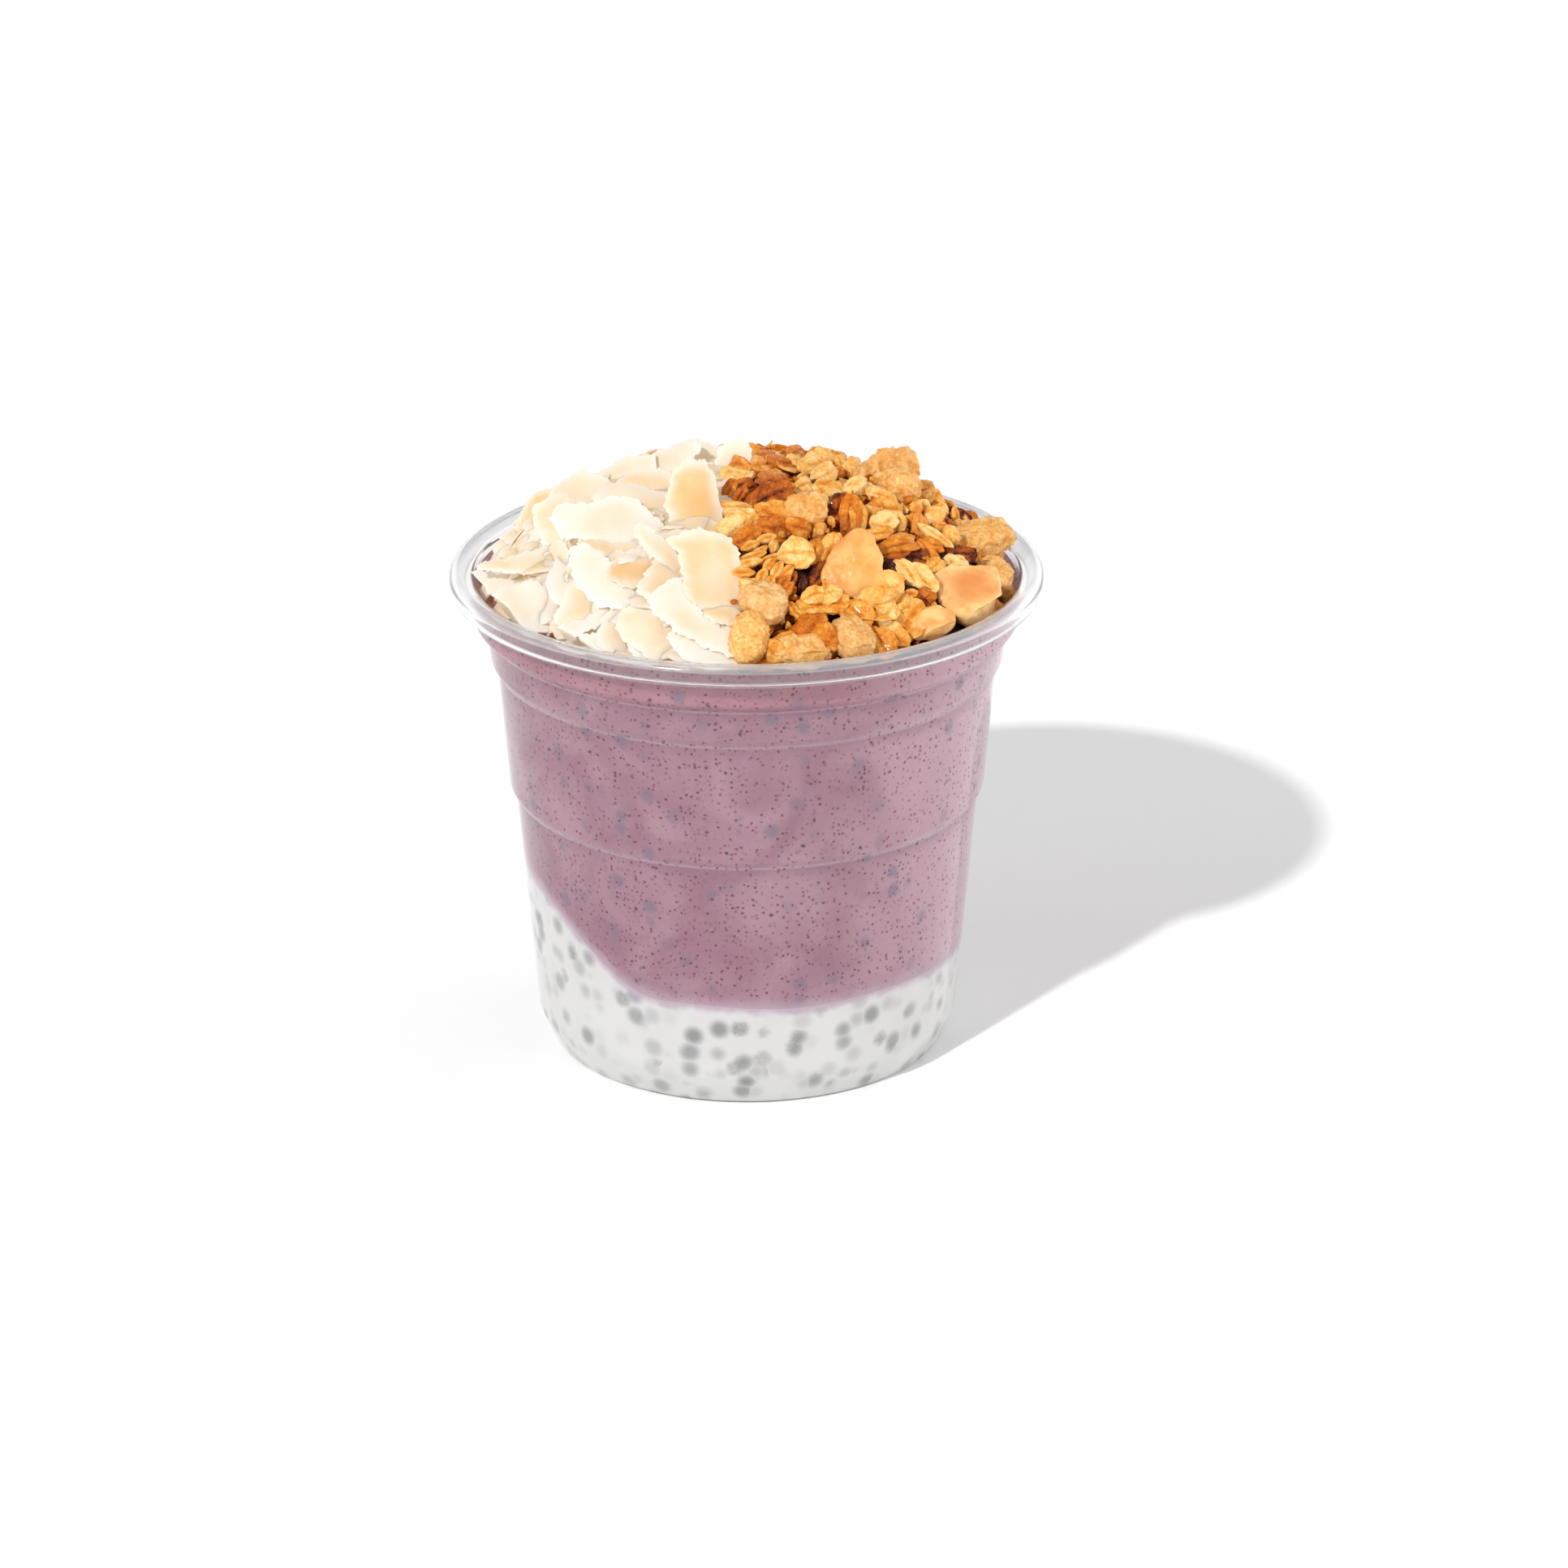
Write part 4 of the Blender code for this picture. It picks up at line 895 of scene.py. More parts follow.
# Pieces seen from the front, in mm and degrees: kind, across, deep, height, length, width, spin,
# lean, and toast from 0, pale, to 1, dark; the low pieces in the gaps get a dark toast that is
# partly painted shade
FRONT_PIECES = (
    ("oat", -1.4, 10.2, 96.2, 6.9, 3.3, 10, 40, 0.35), ("oat", -1.5, 4.5, 96.5, 7.2, 3.6, 12, 22, 0.10),
    ("oat", 2.1, 9.4, 96.5, 4.4, 3.6, -10, 40, 0.30), ("oat", -2.7, -2.4, 96.1, 4.4, 2.4, 80, 60, 0.50),
    ("oat", -1.2, 0.1, 96.2, 4.9, 2.4, 35, 60, 0.60), ("oat", -1.1, -5.8, 96.4, 4.2, 1.9, 55, 60, 0.66),
    ("bit", 0.3, 0.6, 94.9, 3.7, 3.7, 0, 50, 0.80), ("oat", 4.2, 1.0, 96.3, 6.2, 4.9, 0, 50, 0.56),
    ("oat", 3.1, 16.1, 96.0, 5.6, 2.6, -8, 35, 0.50), ("oat", 6.0, 12.5, 95.9, 6.6, 3.9, -25, 35, 0.58),
    ("oat", 8.2, 20.9, 95.1, 5.6, 3.3, 5, 30, 0.50), ("bit", 11.9, 24.8, 93.4, 3.2, 2.5, 0, 40, 0.21),
    ("oat", 3.8, -6.0, 96.2, 9.7, 3.9, 18, 40, 0.70), ("oat", 5.1, -3.2, 96.8, 5.5, 2.6, -5, 30, 0.20),
    ("oat", -2.1, -11.1, 96.1, 6.4, 3.2, 8, 20, 0.15), ("bit", -1.2, -17.8, 95.8, 6.8, 4.5, 28, 50, 0.08),
    ("oat", -0.1, -22.2, 94.9, 6.0, 3.2, 40, 50, 0.50), ("oat", 5.0, -15.8, 96.5, 8.0, 5.1, -35, 48, 0.28),
    ("oat", 8.5, -19.1, 95.7, 4.5, 3.5, -30, 55, 0.42), ("oat", 4.3, -18.7, 94.9, 6.7, 4.8, -30, 55, 0.58),
    ("oat", 9.4, 0.0, 96.1, 4.5, 3.1, 15, 45, 0.12), ("oat", 11.7, 11.8, 95.9, 8.2, 5.6, 8, 30, 0.13),
    ("oat", 12.7, 5.3, 96.2, 6.9, 3.9, 20, 35, 0.08), ("bit", 13.4, -1.1, 95.7, 5.7, 4.0, -20, 45, 0.13),
    ("oat", 15.6, 13.3, 95.2, 3.6, 2.6, 80, 55, 0.18), ("bit", 17.9, 13.5, 94.6, 4.4, 3.5, 90, 50, 0.17),
    ("bit", 18.0, 0.1, 95.6, 5.2, 3.5, 20, 50, 0.05), ("grain", 22.0, 5.5, 95.0, 4.3, 1.8, -30, 45, 0.17),
    ("oat", 22.0, -2.0, 95.2, 5.2, 3.2, -25, 45, 0.11), ("oat", 22.7, -6.6, 94.7, 6.5, 3.2, -20, 45, 0.34),
    ("oat", 15.0, -11.8, 95.4, 7.7, 3.5, 75, 62, 0.80), ("oat", 16.7, -13.8, 95.7, 8.3, 3.2, 68, 66, 0.52),
    ("oat", 18.1, -14.0, 95.0, 7.1, 2.9, 85, 60, 0.30), ("oat", 20.0, -11.1, 94.9, 4.5, 3.2, 60, 55, 0.18),
    ("oat", 21.0, -17.2, 93.8, 5.8, 3.2, 5, 30, 0.26), ("oat", 22.4, -13.1, 94.6, 5.1, 3.9, 20, 45, 0.05),
    ("oat", 24.4, -11.1, 93.8, 4.5, 3.2, 60, 50, 0.14), ("bit", 26.7, -8.8, 93.2, 2.9, 2.3, 0, 45, 0.32),
    ("bit", 11.7, -17.3, 94.4, 2.8, 3.4, 0, 55, 0.30), ("bit", 12.4, -3.8, 95.0, 2.3, 2.3, 0, 50, 0.18),
    ("oat", 8.1, -27.7, 94.2, 6.6, 5.1, 8, 48, 0.12), ("oat", 10.8, -25.8, 94.0, 4.8, 2.5, 72, 55, 0.42),
    ("oat", 13.2, -25.1, 93.6, 7.3, 3.8, 60, 55, 0.24), ("grain", 3.3, -23.7, 95.4, 3.6, 1.8, 15, 50, 0.18),
    ("grain", 0.8, -25.1, 94.7, 3.6, 1.9, 25, 50, 0.20), ("grain", 2.1, -27.2, 94.3, 3.7, 1.8, 40, 50, 0.22),
    ("grain", 1.0, -28.3, 94.0, 5.2, 1.6, 18, 50, 0.16), ("grain", -0.0, -29.8, 93.3, 6.0, 1.9, 12, 50, 0.20),
    ("grain", 4.2, -28.2, 93.6, 4.5, 1.6, 15, 50, 0.26), ("grain", 3.8, -30.4, 93.3, 2.8, 1.9, 50, 50, 0.22),
    ("grain", 5.0, -31.2, 92.7, 3.9, 1.9, 60, 52, 0.20), ("grain", -0.3, -31.4, 92.4, 4.0, 1.9, 0, 52, 0.24),
    ("grain", 2.6, -32.7, 91.9, 4.0, 2.1, 70, 54, 0.24), ("bit", 0.5, -33.5, 90.9, 3.3, 2.8, 0, 55, 0.20),
    ("grain", 3.6, -33.7, 91.0, 3.9, 2.1, 60, 56, 0.30), ("grain", 6.2, -31.1, 92.0, 4.8, 1.9, 45, 52, 0.30),
    ("grain", 5.8, -32.6, 90.9, 4.2, 1.9, 45, 54, 0.52), ("grain", 6.3, -33.9, 90.0, 4.8, 1.8, 50, 54, 0.42),
    ("grain", 4.5, -25.5, 94.7, 2.7, 1.8, 80, 50, 0.20), ("grain", 7.3, -31.2, 90.9, 3.6, 1.8, 60, 52, 0.70),
    ("oat", 11.8, -28.2, 90.8, 5.1, 3.2, 50, 55, 0.85), ("oat", 8.8, -30.4, 89.8, 3.8, 1.9, 70, 60, 0.95),
    ("oat", 11.6, -35.0, 87.9, 8.8, 4.4, 4, 30, 0.24), ("oat", 10.8, -34.2, 89.4, 4.4, 2.8, 15, 45, 0.20),
    ("oat", 13.0, -33.5, 89.4, 5.0, 3.8, 15, 45, 0.16), ("grain", 12.8, -32.4, 90.5, 2.4, 1.3, 90, 50, 0.34),
    ("grain", 7.7, -36.1, 87.9, 3.0, 1.8, -60, 50, 0.30),
    ("grain", 8.5, -36.7, 87.2, 3.0, 1.6, -50, 50, 0.26), ("bit", 10.0, -37.9, 85.8, 6.4, 3.9, 20, 48, 0.62),
    ("bit", 12.6, -38.5, 84.4, 5.6, 4.5, -30, 50, 0.48), ("oat", 17.4, -34.3, 86.4, 6.9, 5.0, -50, 50, 0.34),
    ("oat", 21.5, -29.8, 88.9, 9.5, 5.4, 12, 44, 0.14), ("oat", 20.7, -32.4, 86.7, 7.9, 5.7, -5, 48, 0.18),
    ("oat", 22.3, -33.0, 86.0, 3.8, 3.2, 40, 48, 0.06), ("oat", 24.1, -30.1, 87.0, 4.7, 3.5, 30, 46, 0.18),
    ("oat", 26.4, -30.8, 84.3, 6.7, 6.0, 40, 46, 0.24), ("grain", 26.3, -27.5, 87.3, 3.0, 1.8, 10, 45, 0.30),
    ("oat", 21.4, -36.1, 82.4, 6.0, 4.7, -60, 52, 0.34), ("bit", 23.1, -35.7, 81.4, 2.8, 2.2, 0, 50, 0.72),
    ("oat", 23.5, -34.4, 82.6, 6.0, 4.1, -35, 50, 0.24), ("bit", 5.1, -41.1, 82.8, 3.6, 4.4, 0, 50, 0.28),
    ("oat", 6.6, -39.9, 84.2, 4.1, 2.2, 12, 45, 0.40), ("bit", 29.6, 16.2, 90.5, 4.1, 2.6, -20, 40, 0.28),
    ("bit", 30.3, 6.4, 91.9, 4.3, 2.9, -15, 42, 0.25), ("bit", 27.6, -2.2, 93.2, 2.6, 2.6, 0, 45, 0.31),
    ("bit", 29.2, 0.2, 92.6, 2.2, 2.3, 0, 45, 0.14), ("bit", 30.7, -2.6, 91.9, 3.4, 3.4, 0, 45, 0.13),
    ("bit", 32.2, 4.4, 90.7, 2.3, 2.2, 0, 45, 0.18), ("grain", 34.5, 4.2, 89.5, 3.4, 1.5, 80, 50, 0.26),
    ("grain", 35.8, 9.5, 87.4, 3.1, 1.4, 78, 50, 0.25), ("grain", 31.4, -6.3, 91.5, 3.0, 2.0, -20, 45, 0.18),
    ("bit", 33.3, -7.0, 90.1, 3.1, 3.4, 0, 48, 0.22), ("bit", 35.8, 1.0, 88.5, 2.9, 2.9, 0, 45, 0.20),
    ("bit", 38.2, 11.1, 85.4, 3.2, 2.0, 0, 45, 0.22), ("grain", 30.7, -11.3, 91.5, 7.3, 2.1, -42, 50, 0.02),
    ("oat", 28.1, -10.7, 92.8, 4.8, 3.2, 80, 55, 0.37), ("oat", 29.3, -17.0, 90.5, 5.8, 2.2, -65, 60, 0.52),
    ("oat", 27.7, -18.0, 90.1, 4.5, 3.8, 0, 55, 0.88), ("oat", 24.1, -19.4, 92.5, 8.0, 3.5, 8, 24, 0.48),
    ("oat", 25.1, -16.9, 92.9, 4.8, 2.6, 10, 35, 0.40), ("oat", 23.4, -20.7, 91.6, 6.4, 2.9, 4, 26, 0.80),
    ("bit", 23.0, -23.1, 90.1, 3.4, 3.7, 0, 50, 1.00), ("oat", 25.9, -23.6, 89.7, 5.7, 3.5, -55, 52, 0.08),
    ("oat", 28.4, -23.2, 88.3, 6.4, 3.8, -52, 52, 0.10), ("bit", 34.0, -14.3, 88.0, 4.3, 2.6, -20, 45, 0.00),
    ("oat", 30.4, -18.5, 89.0, 4.2, 2.9, 20, 45, 0.24), ("oat", 28.7, -25.9, 86.0, 4.5, 2.9, 10, 45, 0.62),
    ("bit", 29.6, -26.7, 84.9, 2.5, 1.7, 0, 45, 0.30), ("oat", 33.8, -11.6, 88.2, 8.1, 2.9, -4, 40, 0.85),
    ("oat", 16.5, -23.9, 91.9, 4.8, 3.2, 70, 55, 0.60), ("oat", 19.3, -19.2, 93.3, 3.8, 2.9, 0, 50, 0.50),
    ("oat", 30.4, -12.9, 90.5, 4.2, 2.6, -30, 45, 0.45), ("bit", 44.0, 8.3, 77.8, 2.6, 4.4, 0, 50, 0.28),
    ("bit", 42.7, -6.0, 79.5, 3.7, 3.2, 0, 50, 0.34), ("bit", 40.5, -14.2, 79.7, 4.0, 2.9, 20, 50, 0.42),
    ("bit", 37.3, -21.2, 80.1, 4.0, 2.6, 20, 50, 0.50), ("bit", 15.4, -32.9, 88.1, 2.5, 2.5, 0, 50, 0.30),
    ("oat", 11.7, -12.3, 94.7, 4.2, 3.2, 70, 60, 0.60),
)
# The larger pieces of the next section, given here because the layers leave room for them: size
# in mm, place, lift over the heap, turns, how square and lumpy, and marks on the skin
SINGLES = {
    "nut_chunk": dict(size=(12.6, 10.2, 7.2), at=(35.9, -19.6), lift=0.3, spin=-8, lean=44,
                      facing=22, square=0.6, lumps=0.16, seed=3, blush=(-0.05, 0.2, 1.0, 0.4),
                      broken=0.78),
    "nut_petal": dict(size=(12.0, 9.2, 2.2), at=(17.5, -27.4), lift=1.2, spin=72, lean=52,
                      facing=6, square=0.9, lumps=0.08, taper=0.25, seed=5, blush=(0.5, 0.8, 0.5, 0.3),
                      gold=0.55),
    "nut_wedge": dict(size=(9.0, 5.8, 4.0), at=(29.3, -30.0), lift=0.7, spin=16, lean=38,
                      facing=12, square=0.7, lumps=0.08, taper=0.25, seed=8, blush=(0.9, 0.2, 0.3, 0.3),
                      broken=0.84, gold=0.2),
    "nut_half": dict(size=(8.2, 6.8, 4.6), at=(17.0, -37.8), lift=0.6, spin=-50, lean=48,
                     facing=0, square=0.95, lumps=0.08, seed=12, tan=0.75),
    "puff_front": dict(size=(9.0, 6.2, 5.6), at=(0.6, -40.6), lift=0.5, spin=78, lean=52,
                       facing=0, square=0.92, lumps=0.12, seed=14, tan=0.05),
    "puff_behind": dict(size=(8.2, 7.0, 5.4), at=(3.1, -35.6), lift=0.1, spin=-40, lean=30,
                        facing=0, square=0.92, lumps=0.14, seed=17, tan=0.9),
    "puff_low": dict(size=(9.0, 5.6, 5.0), at=(8.9, -41.0), lift=0.2, spin=-12, lean=30,
                     facing=6, square=0.9, lumps=0.2, seed=21, tan=0.3),
    "puff_round": dict(size=(7.0, 6.8, 6.6), at=(25.2, 2.2), lift=0.9, spin=10, lean=20,
                       facing=0, square=0.95, lumps=0.12, seed=25, tan=0.2),
    "puff_disc": dict(size=(6.8, 6.6, 4.4), at=(9.6, -14.6), lift=1.1, spin=0, lean=58,
                      facing=-4, square=0.9, lumps=0.1, seed=28, tan=0.2, dimple=0.3),
    "cereal_pillow": dict(size=(11.6, 6.4, 4.8), at=(38.3, -1.0), lift=0.8, spin=14, lean=24,
                          facing=14, square=0.6, lumps=0.14, seed=31, tan=0.3),
    "cereal_pillow_low": dict(size=(6.4, 6.0, 4.4), at=(40.6, -7.0), lift=-0.4, spin=64, lean=30,
                              facing=40, square=0.7, lumps=0.18, seed=34, tan=0.5),
    "corn_flake": dict(size=(9.4, 6.8, 1.8), at=(23.2, 10.8), lift=1.8, spin=0, lean=52,
                       facing=0, square=0.85, lumps=0.2, seed=37, tan=0.1),
}


def laid(solid, at, amount, draw):
    """A piece laid on the heap, leant over by up to an amount in degrees and spun at random."""
    points, faces, tint = solid
    x, y = at[:2]
    steep = math.radians(slope(x, y))
    rho = max(math.hypot(x, y), 1e-6)
    normal = np.array([math.sin(steep) * x / rho, math.sin(steep) * y / rho, math.cos(steep)])
    lean = math.radians(draw.uniform(0.3, 1.0) * amount)
    other = np.cross(normal, draw.normal(size=3))
    way = math.cos(lean) * normal + math.sin(lean) * other / np.linalg.norm(other)
    spin = Matrix.Rotation(draw.uniform(0, FULL_TURN), 3, "Z")
    turn = Vector(way).to_track_quat("Z", "Y").to_matrix() @ spin
    return points @ np.array(turn).T + np.array(at), faces, tint


def held_by_single(x, y):
    """Whether a larger single piece covers the place."""
    return any(math.hypot(x - spec["at"][0], y - spec["at"][1]) < 0.3 * spec["size"][0]
               for spec in SINGLES.values())


# Middles of the dark gaps between the clusters in front
HOLLOWS = ((9.3, -25.9), (11.0, -29.8), (23.4, -22.0), (14.4, -33.6))
HOLLOW_RADIUS = 3.2


def in_hollow(x, y):
    return any(math.hypot(x - a, y - b) < HOLLOW_RADIUS for a, b in HOLLOWS)


# Those in front face outward by this share only, and lean by up to this much more or less
TURNED_OUT = 0.35
LEAN_SPREAD = 8
pieces = {"oat": [], "grain": [], "bit": []}
draw = np.random.default_rng(21)
for i, (kind, x, y, z, length, width, spin, lean, toast) in enumerate(FRONT_PIECES):
    if kind == "oat":
        solid = oat(length, max(width, 0.45 * length), 1000 + i, toast)
    elif kind == "grain":
        solid = grain(length, width, 1000 + i, toast)
    else:
        size = (length, width, 0.8 * width)
        solid = bit(size, 1000 + i, rough=0.16, toast=toast, segments=30, square=0.85)
    lean += draw.uniform(-LEAN_SPREAD, LEAN_SPREAD)
    points = posed(solid[0], (x, y, z), spin, lean, outward(x, y) * TURNED_OUT)
    pieces[kind].append((points, *solid[1:]))

# Layers under and beside them: spacing and depth in mm, added toast that paints the deeper layers darker as
# shade, how far forward it reaches
LAYERS_REACH = 41.2
LAYERS = ((4.2, 3.8, 0.66, -50), (3.6, 2.7, 0.38, -50), (3.2, 1.9, 0.0, 8))
for spacing, deep, dark, nearest in LAYERS:
    for gx in np.arange(-4, 43, spacing):
        for gy in np.arange(-42, 43, spacing):
            x, y = gx + draw.uniform(-1.4, 1.4), gy + draw.uniform(-1.4, 1.4)
            if math.hypot(x, y) > LAYERS_REACH or x < split_line(y) + 1.6 or y < nearest - 0.35 * x:
                continue
            if held_by_single(x, y) and deep < 2 or in_hollow(x, y):
                continue
            patch = float(0.34 + 0.3 * swell(np.array([x, y, 0.0]), 22.0, 8))
            # The added toast is painted shade: deeper layers come out darker
            own = float(np.clip(patch + dark + draw.normal() * 0.15, 0, 1))
            at = (x, y, heap_top(x, y) - deep + draw.uniform(-0.5, 0.7))
            seed = 5000 + sum(len(made) for made in pieces.values())
            chance = draw.uniform()
            flat = 50 if y < 10 else 26
            if chance < 0.5:
                solid = oat(draw.uniform(5.4, 8.2), draw.uniform(4.2, 5.8), seed, own, fine=0)
                pieces["oat"].append(laid(solid, at, flat, draw))
            elif chance < 0.72:
                solid = grain(draw.uniform(3.2, 5.4), draw.uniform(1.4, 2.0), seed, own)
                pieces["grain"].append(laid(solid, at, 60, draw))
            else:
                solid = bit(draw.uniform(2.6, 4.6) * draw.uniform(0.7, 1.2, 3), seed, 0.16, own)
                pieces["bit"].append(laid(solid, at, 60, draw))

CRUMBS_THROWN = 420
CRUMBS_REACH = 42.2
crumbs = []
for i in range(CRUMBS_THROWN):
    x, y = draw.uniform(-3, 42), draw.uniform(-42, 42)
    if math.hypot(x, y) > CRUMBS_REACH or x < split_line(y) - 0.6 or in_hollow(x, y):
        continue
    size = draw.uniform(0.5, 1.6) * draw.uniform(0.6, 1.2, 3)
    at = (x, y, heap_top(x, y) - draw.uniform(-0.2, 1.8))
    crumb = bit(size, i, rough=0.2, toast=float(draw.uniform(0.1, 0.8)), segments=6)
    crumbs.append(laid(crumb, at, 30, draw))

# Rolled oat baked with honey: straw to dark caramel by its own toast, browner in the crease and
# the gaps, mottled every 0.5 to 2 mm, with a thin glaze that catches the light
baked_oat, tree, shader = new_material("baked_rolled_oat")
place = millimetres(tree)
parts = tint_parts(tree)
cloud = add_node(tree, "TexNoise", {"Vector": place, "Scale": 0.55, "Detail": 3.0})
uneven = add_node(tree, "Math", {0: cloud.outputs["Fac"], 1: 0.8, 2: -0.67}, operation="MULTIPLY_ADD")
browned = add_node(tree, "Math", {0: parts["Green"], 1: 0.30, 2: uneven.outputs[0]},
                   operation="MULTIPLY_ADD")
paled = add_node(tree, "Math", {0: parts["Blue"], 1: 0.08, 2: browned.outputs[0]},
                 operation="MULTIPLY_ADD")
fine = add_node(tree, "TexNoise", {"Vector": place, "Scale": 2.0, "Detail": 3.0})
mottled = add_node(tree, "Math", {0: fine.outputs["Fac"], 1: 0.5, 2: paled.outputs[0]},
                   operation="MULTIPLY_ADD")
toast = add_node(tree, "Math", {0: parts["Red"], 1: mottled.outputs[0]}, operation="ADD",
                 use_clamp=True)
ramp = add_node(tree, "ValToRGB", {"Fac": toast.outputs[0]})
ramp.color_ramp.elements[0].color = srgb("f6d08a")
ramp.color_ramp.elements[1].color = srgb("3c1002")
for position, code in ((0.22, "eaac52"), (0.45, "d67f1c"), (0.7, "b65a08"), (0.88, "843602")):
    ramp.color_ramp.elements.new(position).color = srgb(code)
bump = add_node(tree, "Bump", {"Height": fine.outputs["Fac"], "Strength": 0.8, "Distance": 0.5 * MM})
feed(tree, shader, {"Base Color": ramp.outputs["Color"], "Normal": bump.outputs[0],
                    "Roughness": 0.38, "Specular IOR Level": 0.18, "Coat Weight": 0.12,
                    "Coat Roughness": 0.08, "Subsurface Weight": 0.15,
                    "Subsurface Radius": (1.0, 0.6, 0.3), "Subsurface Scale": 1.0 * MM})

for name, solids in (("rolled_oats", pieces["oat"]), ("oat_grains", pieces["grain"]),
                     ("granola_bits", pieces["bit"]), ("granola_crumbs", crumbs)):
    piece = gathered(name, solids, baked_oat)
    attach(piece, "root")
    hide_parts("granola")

# Larger single pieces
# Nuts, oat puffs and corn cereal that lie on the heap, each close to where its solid is: roasted
# nuts with a smooth skin and broken faces, and puffs with a sugary, pitted crust.


def single(spec, relief):
    """The solid's own rounded form in mm, with finer relief. Tint: blush or tan, unevenness, gold."""
    points, faces = ball(72, 48)
    square = np.sign(points) * np.abs(points) ** spec["square"]
    shift = Vector((spec["seed"] * 3.7, 0.0, spec["seed"] * 1.9))
    uneven = np.array([noise.noise(Vector(p) * 1.4 + shift) for p in points])
    square = square * (1 + spec["lumps"] * uneven)[:, None]
    square[:, 1] *= 1 - spec.get("taper", 0.0) * square[:, 0]
    square[:, 2] -= spec.get("dimple", 0.0) * np.exp(-(points[:, 0] ** 2 + points[:, 1] ** 2) / 0.15)
    for way in np.random.default_rng(spec["seed"]).normal(size=(9, 3)):
        way = way / np.linalg.norm(way)
        over = np.maximum(square @ way - spec.get("broken", math.inf), 0)
        square = square - 0.9 * over[:, None] * way
    shape = square * np.array(spec["size"]) / 2
    lumps, pits = relief
    field = lumps * swell(shape, 2.4, spec["seed"]) + pits * swell(shape, 0.9, spec["seed"] + 1)
    shape = shape + points * field[:, None]
    x, y = spec["at"]
    z = float(heap_top(x, y)) + spec["lift"]
    tinge = 0 * uneven + spec.get("tan", 0.0)
    if "blush" in spec:
        centre, reach = np.array(spec["blush"][:3]), spec["blush"][3]
        tinge = np.exp(-((points - centre) ** 2).sum(axis=1) / reach ** 2 / 2)
    tint = np.stack([tinge, np.clip(0.5 + uneven, 0, 1), 0 * uneven + spec.get("gold", 0.0)], -1)
    return posed(shape, (x, y, z), spec["spin"], spec["lean"], spec["facing"]), faces, tint


# Roasted nut: smooth ivory with a waxy shine, a toasted blush, fine streaks and a few dark specks
nut_flesh, tree, shader = new_material("nut_flesh_toasted")
place = millimetres(tree)
parts = tint_parts(tree)
cloud = add_node(tree, "TexNoise", {"Vector": place, "Scale": 0.3, "Detail": 3.0})
drift = add_node(tree, "MapRange", {"Value": cloud.outputs["Fac"], "From Min": 0.42, "From Max": 0.68})
colour = add_node(tree, "Mix", {0: drift.outputs[0], 6: srgb("f0c886"), 7: srgb("dc984c")},
                  data_type="RGBA").outputs[2]
fine = add_node(tree, "TexNoise", {"Vector": place, "Scale": 0.9, "Detail": 4.0})
streaks = add_node(tree, "MapRange", {"Value": fine.outputs["Fac"], "From Min": 0.52, "From Max": 0.34,
                                      "To Max": 0.3})
specks = spots(tree, place, spacing=1.7, inner=0.06, outer=0.18, strength=(-1.0, 0.9))
for amount, code in ((parts["Blue"], "dc9c4c"), (parts["Red"], "d98848"),
                     (streaks.outputs[0], "d8924a"), (specks, "a8692f")):
    colour = add_node(tree, "Mix", {0: amount, 6: colour, 7: srgb(code)}, data_type="RGBA").outputs[2]
bump = add_node(tree, "Bump", {"Height": fine.outputs["Fac"], "Strength": 0.45, "Distance": 0.4 * MM})
feed(tree, shader, {"Base Color": colour, "Normal": bump.outputs[0], "Roughness": 0.34,
                    "Specular IOR Level": 0.3, "Subsurface Weight": 0.25,
                    "Subsurface Radius": (1.0, 0.7, 0.4), "Subsurface Scale": 1.2 * MM})

# Baked oat puff: golden crust with a brown glaze in its pits and sugar crystals on its lumps; real
# crystals are 0.2 mm, drawn about three times as coarse so that they show
puff_gold, tree, shader = new_material("oat_puff_crust")
place = millimetres(tree)
parts = tint_parts(tree)
cloud = add_node(tree, "TexNoise", {"Vector": place, "Scale": 0.4, "Detail": 4.0, "Roughness": 0.6})
patch = add_node(tree, "MapRange", {"Value": cloud.outputs["Fac"], "From Min": 0.38, "From Max": 0.66})
gold, tan = (add_node(tree, "Mix", {0: patch.outputs[0], 6: srgb(pale), 7: srgb(dark)},
                      data_type="RGBA").outputs[2]
             for pale, dark in (("f8c878", "e6993c"), ("edc084", "d49c50")))
colour = add_node(tree, "Mix", {0: parts["Red"], 6: gold, 7: tan}, data_type="RGBA").outputs[2]
sugar = add_node(tree, "TexNoise", {"Vector": place, "Scale": 1.6, "Detail": 4.0, "Roughness": 0.7})
pits = add_node(tree, "TexVoronoi", {"Vector": place, "Scale": 0.9})
glazed = add_node(tree, "MapRange", {"Value": sugar.outputs["Fac"], "From Min": 0.55, "From Max": 0.36,
                                     "To Max": 0.6})
crystals = add_node(tree, "MapRange", {"Value": sugar.outputs["Fac"], "From Min": 0.55, "From Max": 0.7,
                                       "To Max": 0.6})
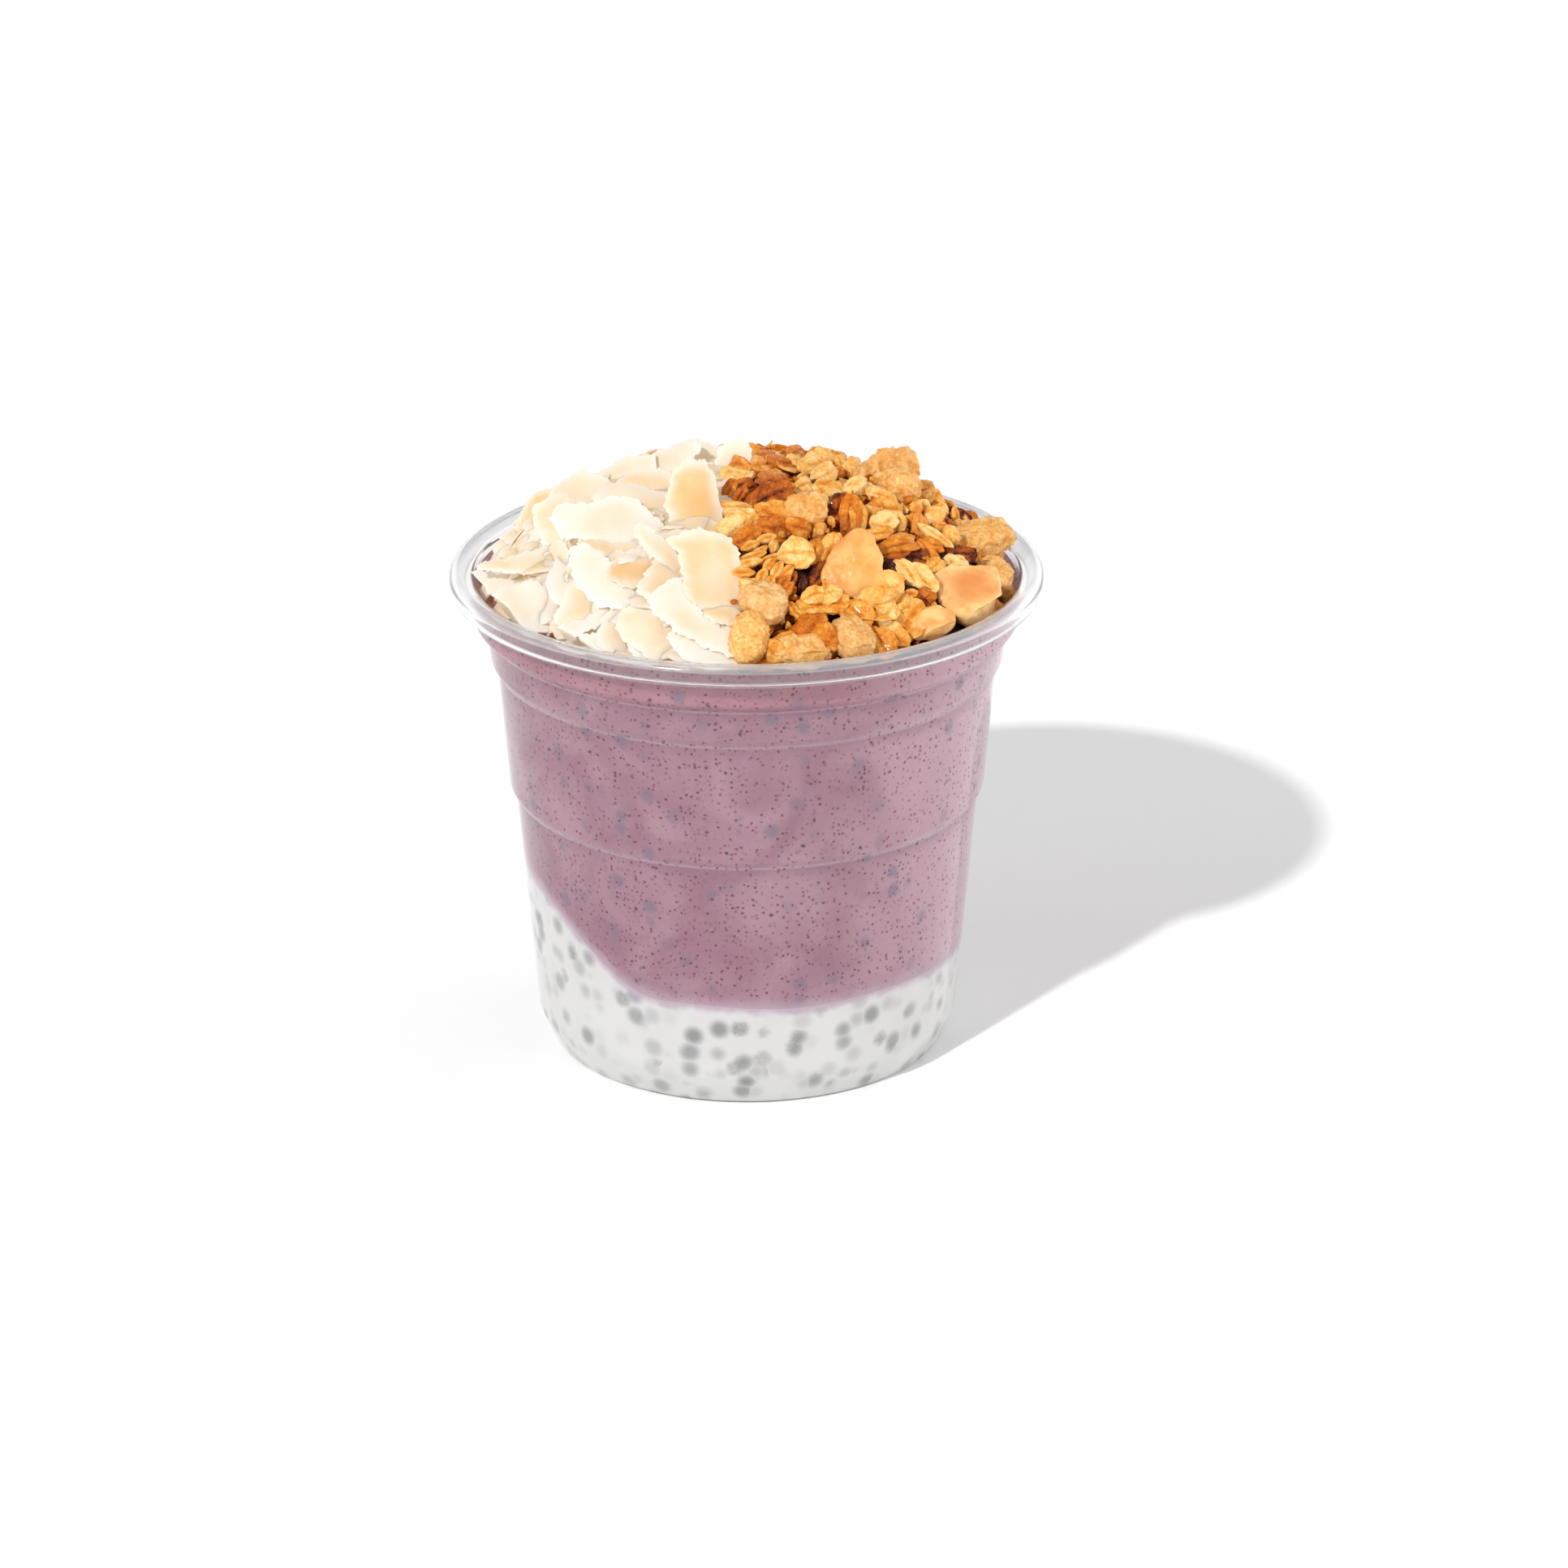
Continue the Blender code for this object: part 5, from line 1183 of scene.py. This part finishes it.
specks = spots(tree, place, spacing=1.5, inner=0.08, outer=0.24, strength=(-0.8, 0.8))
for amount, code in ((glazed.outputs[0], "bc6f1e"), (crystals.outputs[0], "fbe2ae"),
                     (specks, "8a4f1c")):
    colour = add_node(tree, "Mix", {0: amount, 6: colour, 7: srgb(code)}, data_type="RGBA").outputs[2]
relief = add_node(tree, "Math", {0: pits.outputs["Distance"], 1: 0.6, 2: sugar.outputs["Fac"]},
                  operation="MULTIPLY_ADD")
bump = add_node(tree, "Bump", {"Height": relief.outputs[0], "Strength": 0.8, "Distance": 0.4 * MM})
feed(tree, shader, {"Base Color": colour, "Normal": bump.outputs[0], "Roughness": 0.42,
                    "Specular IOR Level": 0.25, "Subsurface Weight": 0.15,
                    "Subsurface Radius": (1.0, 0.7, 0.4), "Subsurface Scale": 1.0 * MM})

# The corn flake is a bent sheet with ridges, in mm: its two long edges, as x and y by turns
CORN_UPPER = (-4.9, -1.4, -3.0, 1.2, -0.8, 3.2, 0.6, 2.5, 2.0, 3.6, 4.2, 3.1, 5.0, 0.8)
CORN_LOWER = (-4.3, -3.0, -2.0, -3.4, 0.5, -3.2, 2.5, -2.4, 5.3, -1.4)
CORN_THICKNESS = 1.1
RIDGE_HEIGHT = 0.4
NUT_RELIEF = (0.12, 0.05)
PUFF_RELIEF = (0.2, 0.16)

for name, spec in SINGLES.items():
    nut = "tan" not in spec
    if name == "corn_flake":
        x, y = spec["at"]
        points, faces, tint = shaving(CORN_UPPER, CORN_LOWER, seed=41, step=0.3,
                                      curl=(0.06, 0.16, 0.05), warmth=0.45, thick=CORN_THICKNESS)
        points[:, 2] += RIDGE_HEIGHT * np.sin(2.6 * points[:, 0] + 0.8 * np.sin(points[:, 1]))
        at = (x, y, heap_top(x, y) + spec["lift"])
        solid = posed(points, at, spin=0, lean=spec["lean"], facing=0), faces, tint
    else:
        solid = single(spec, NUT_RELIEF if nut else PUFF_RELIEF)
    piece = gathered(name + "_fine", [solid], nut_flesh if nut else puff_gold)
    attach(piece, "root")
    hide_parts(name)
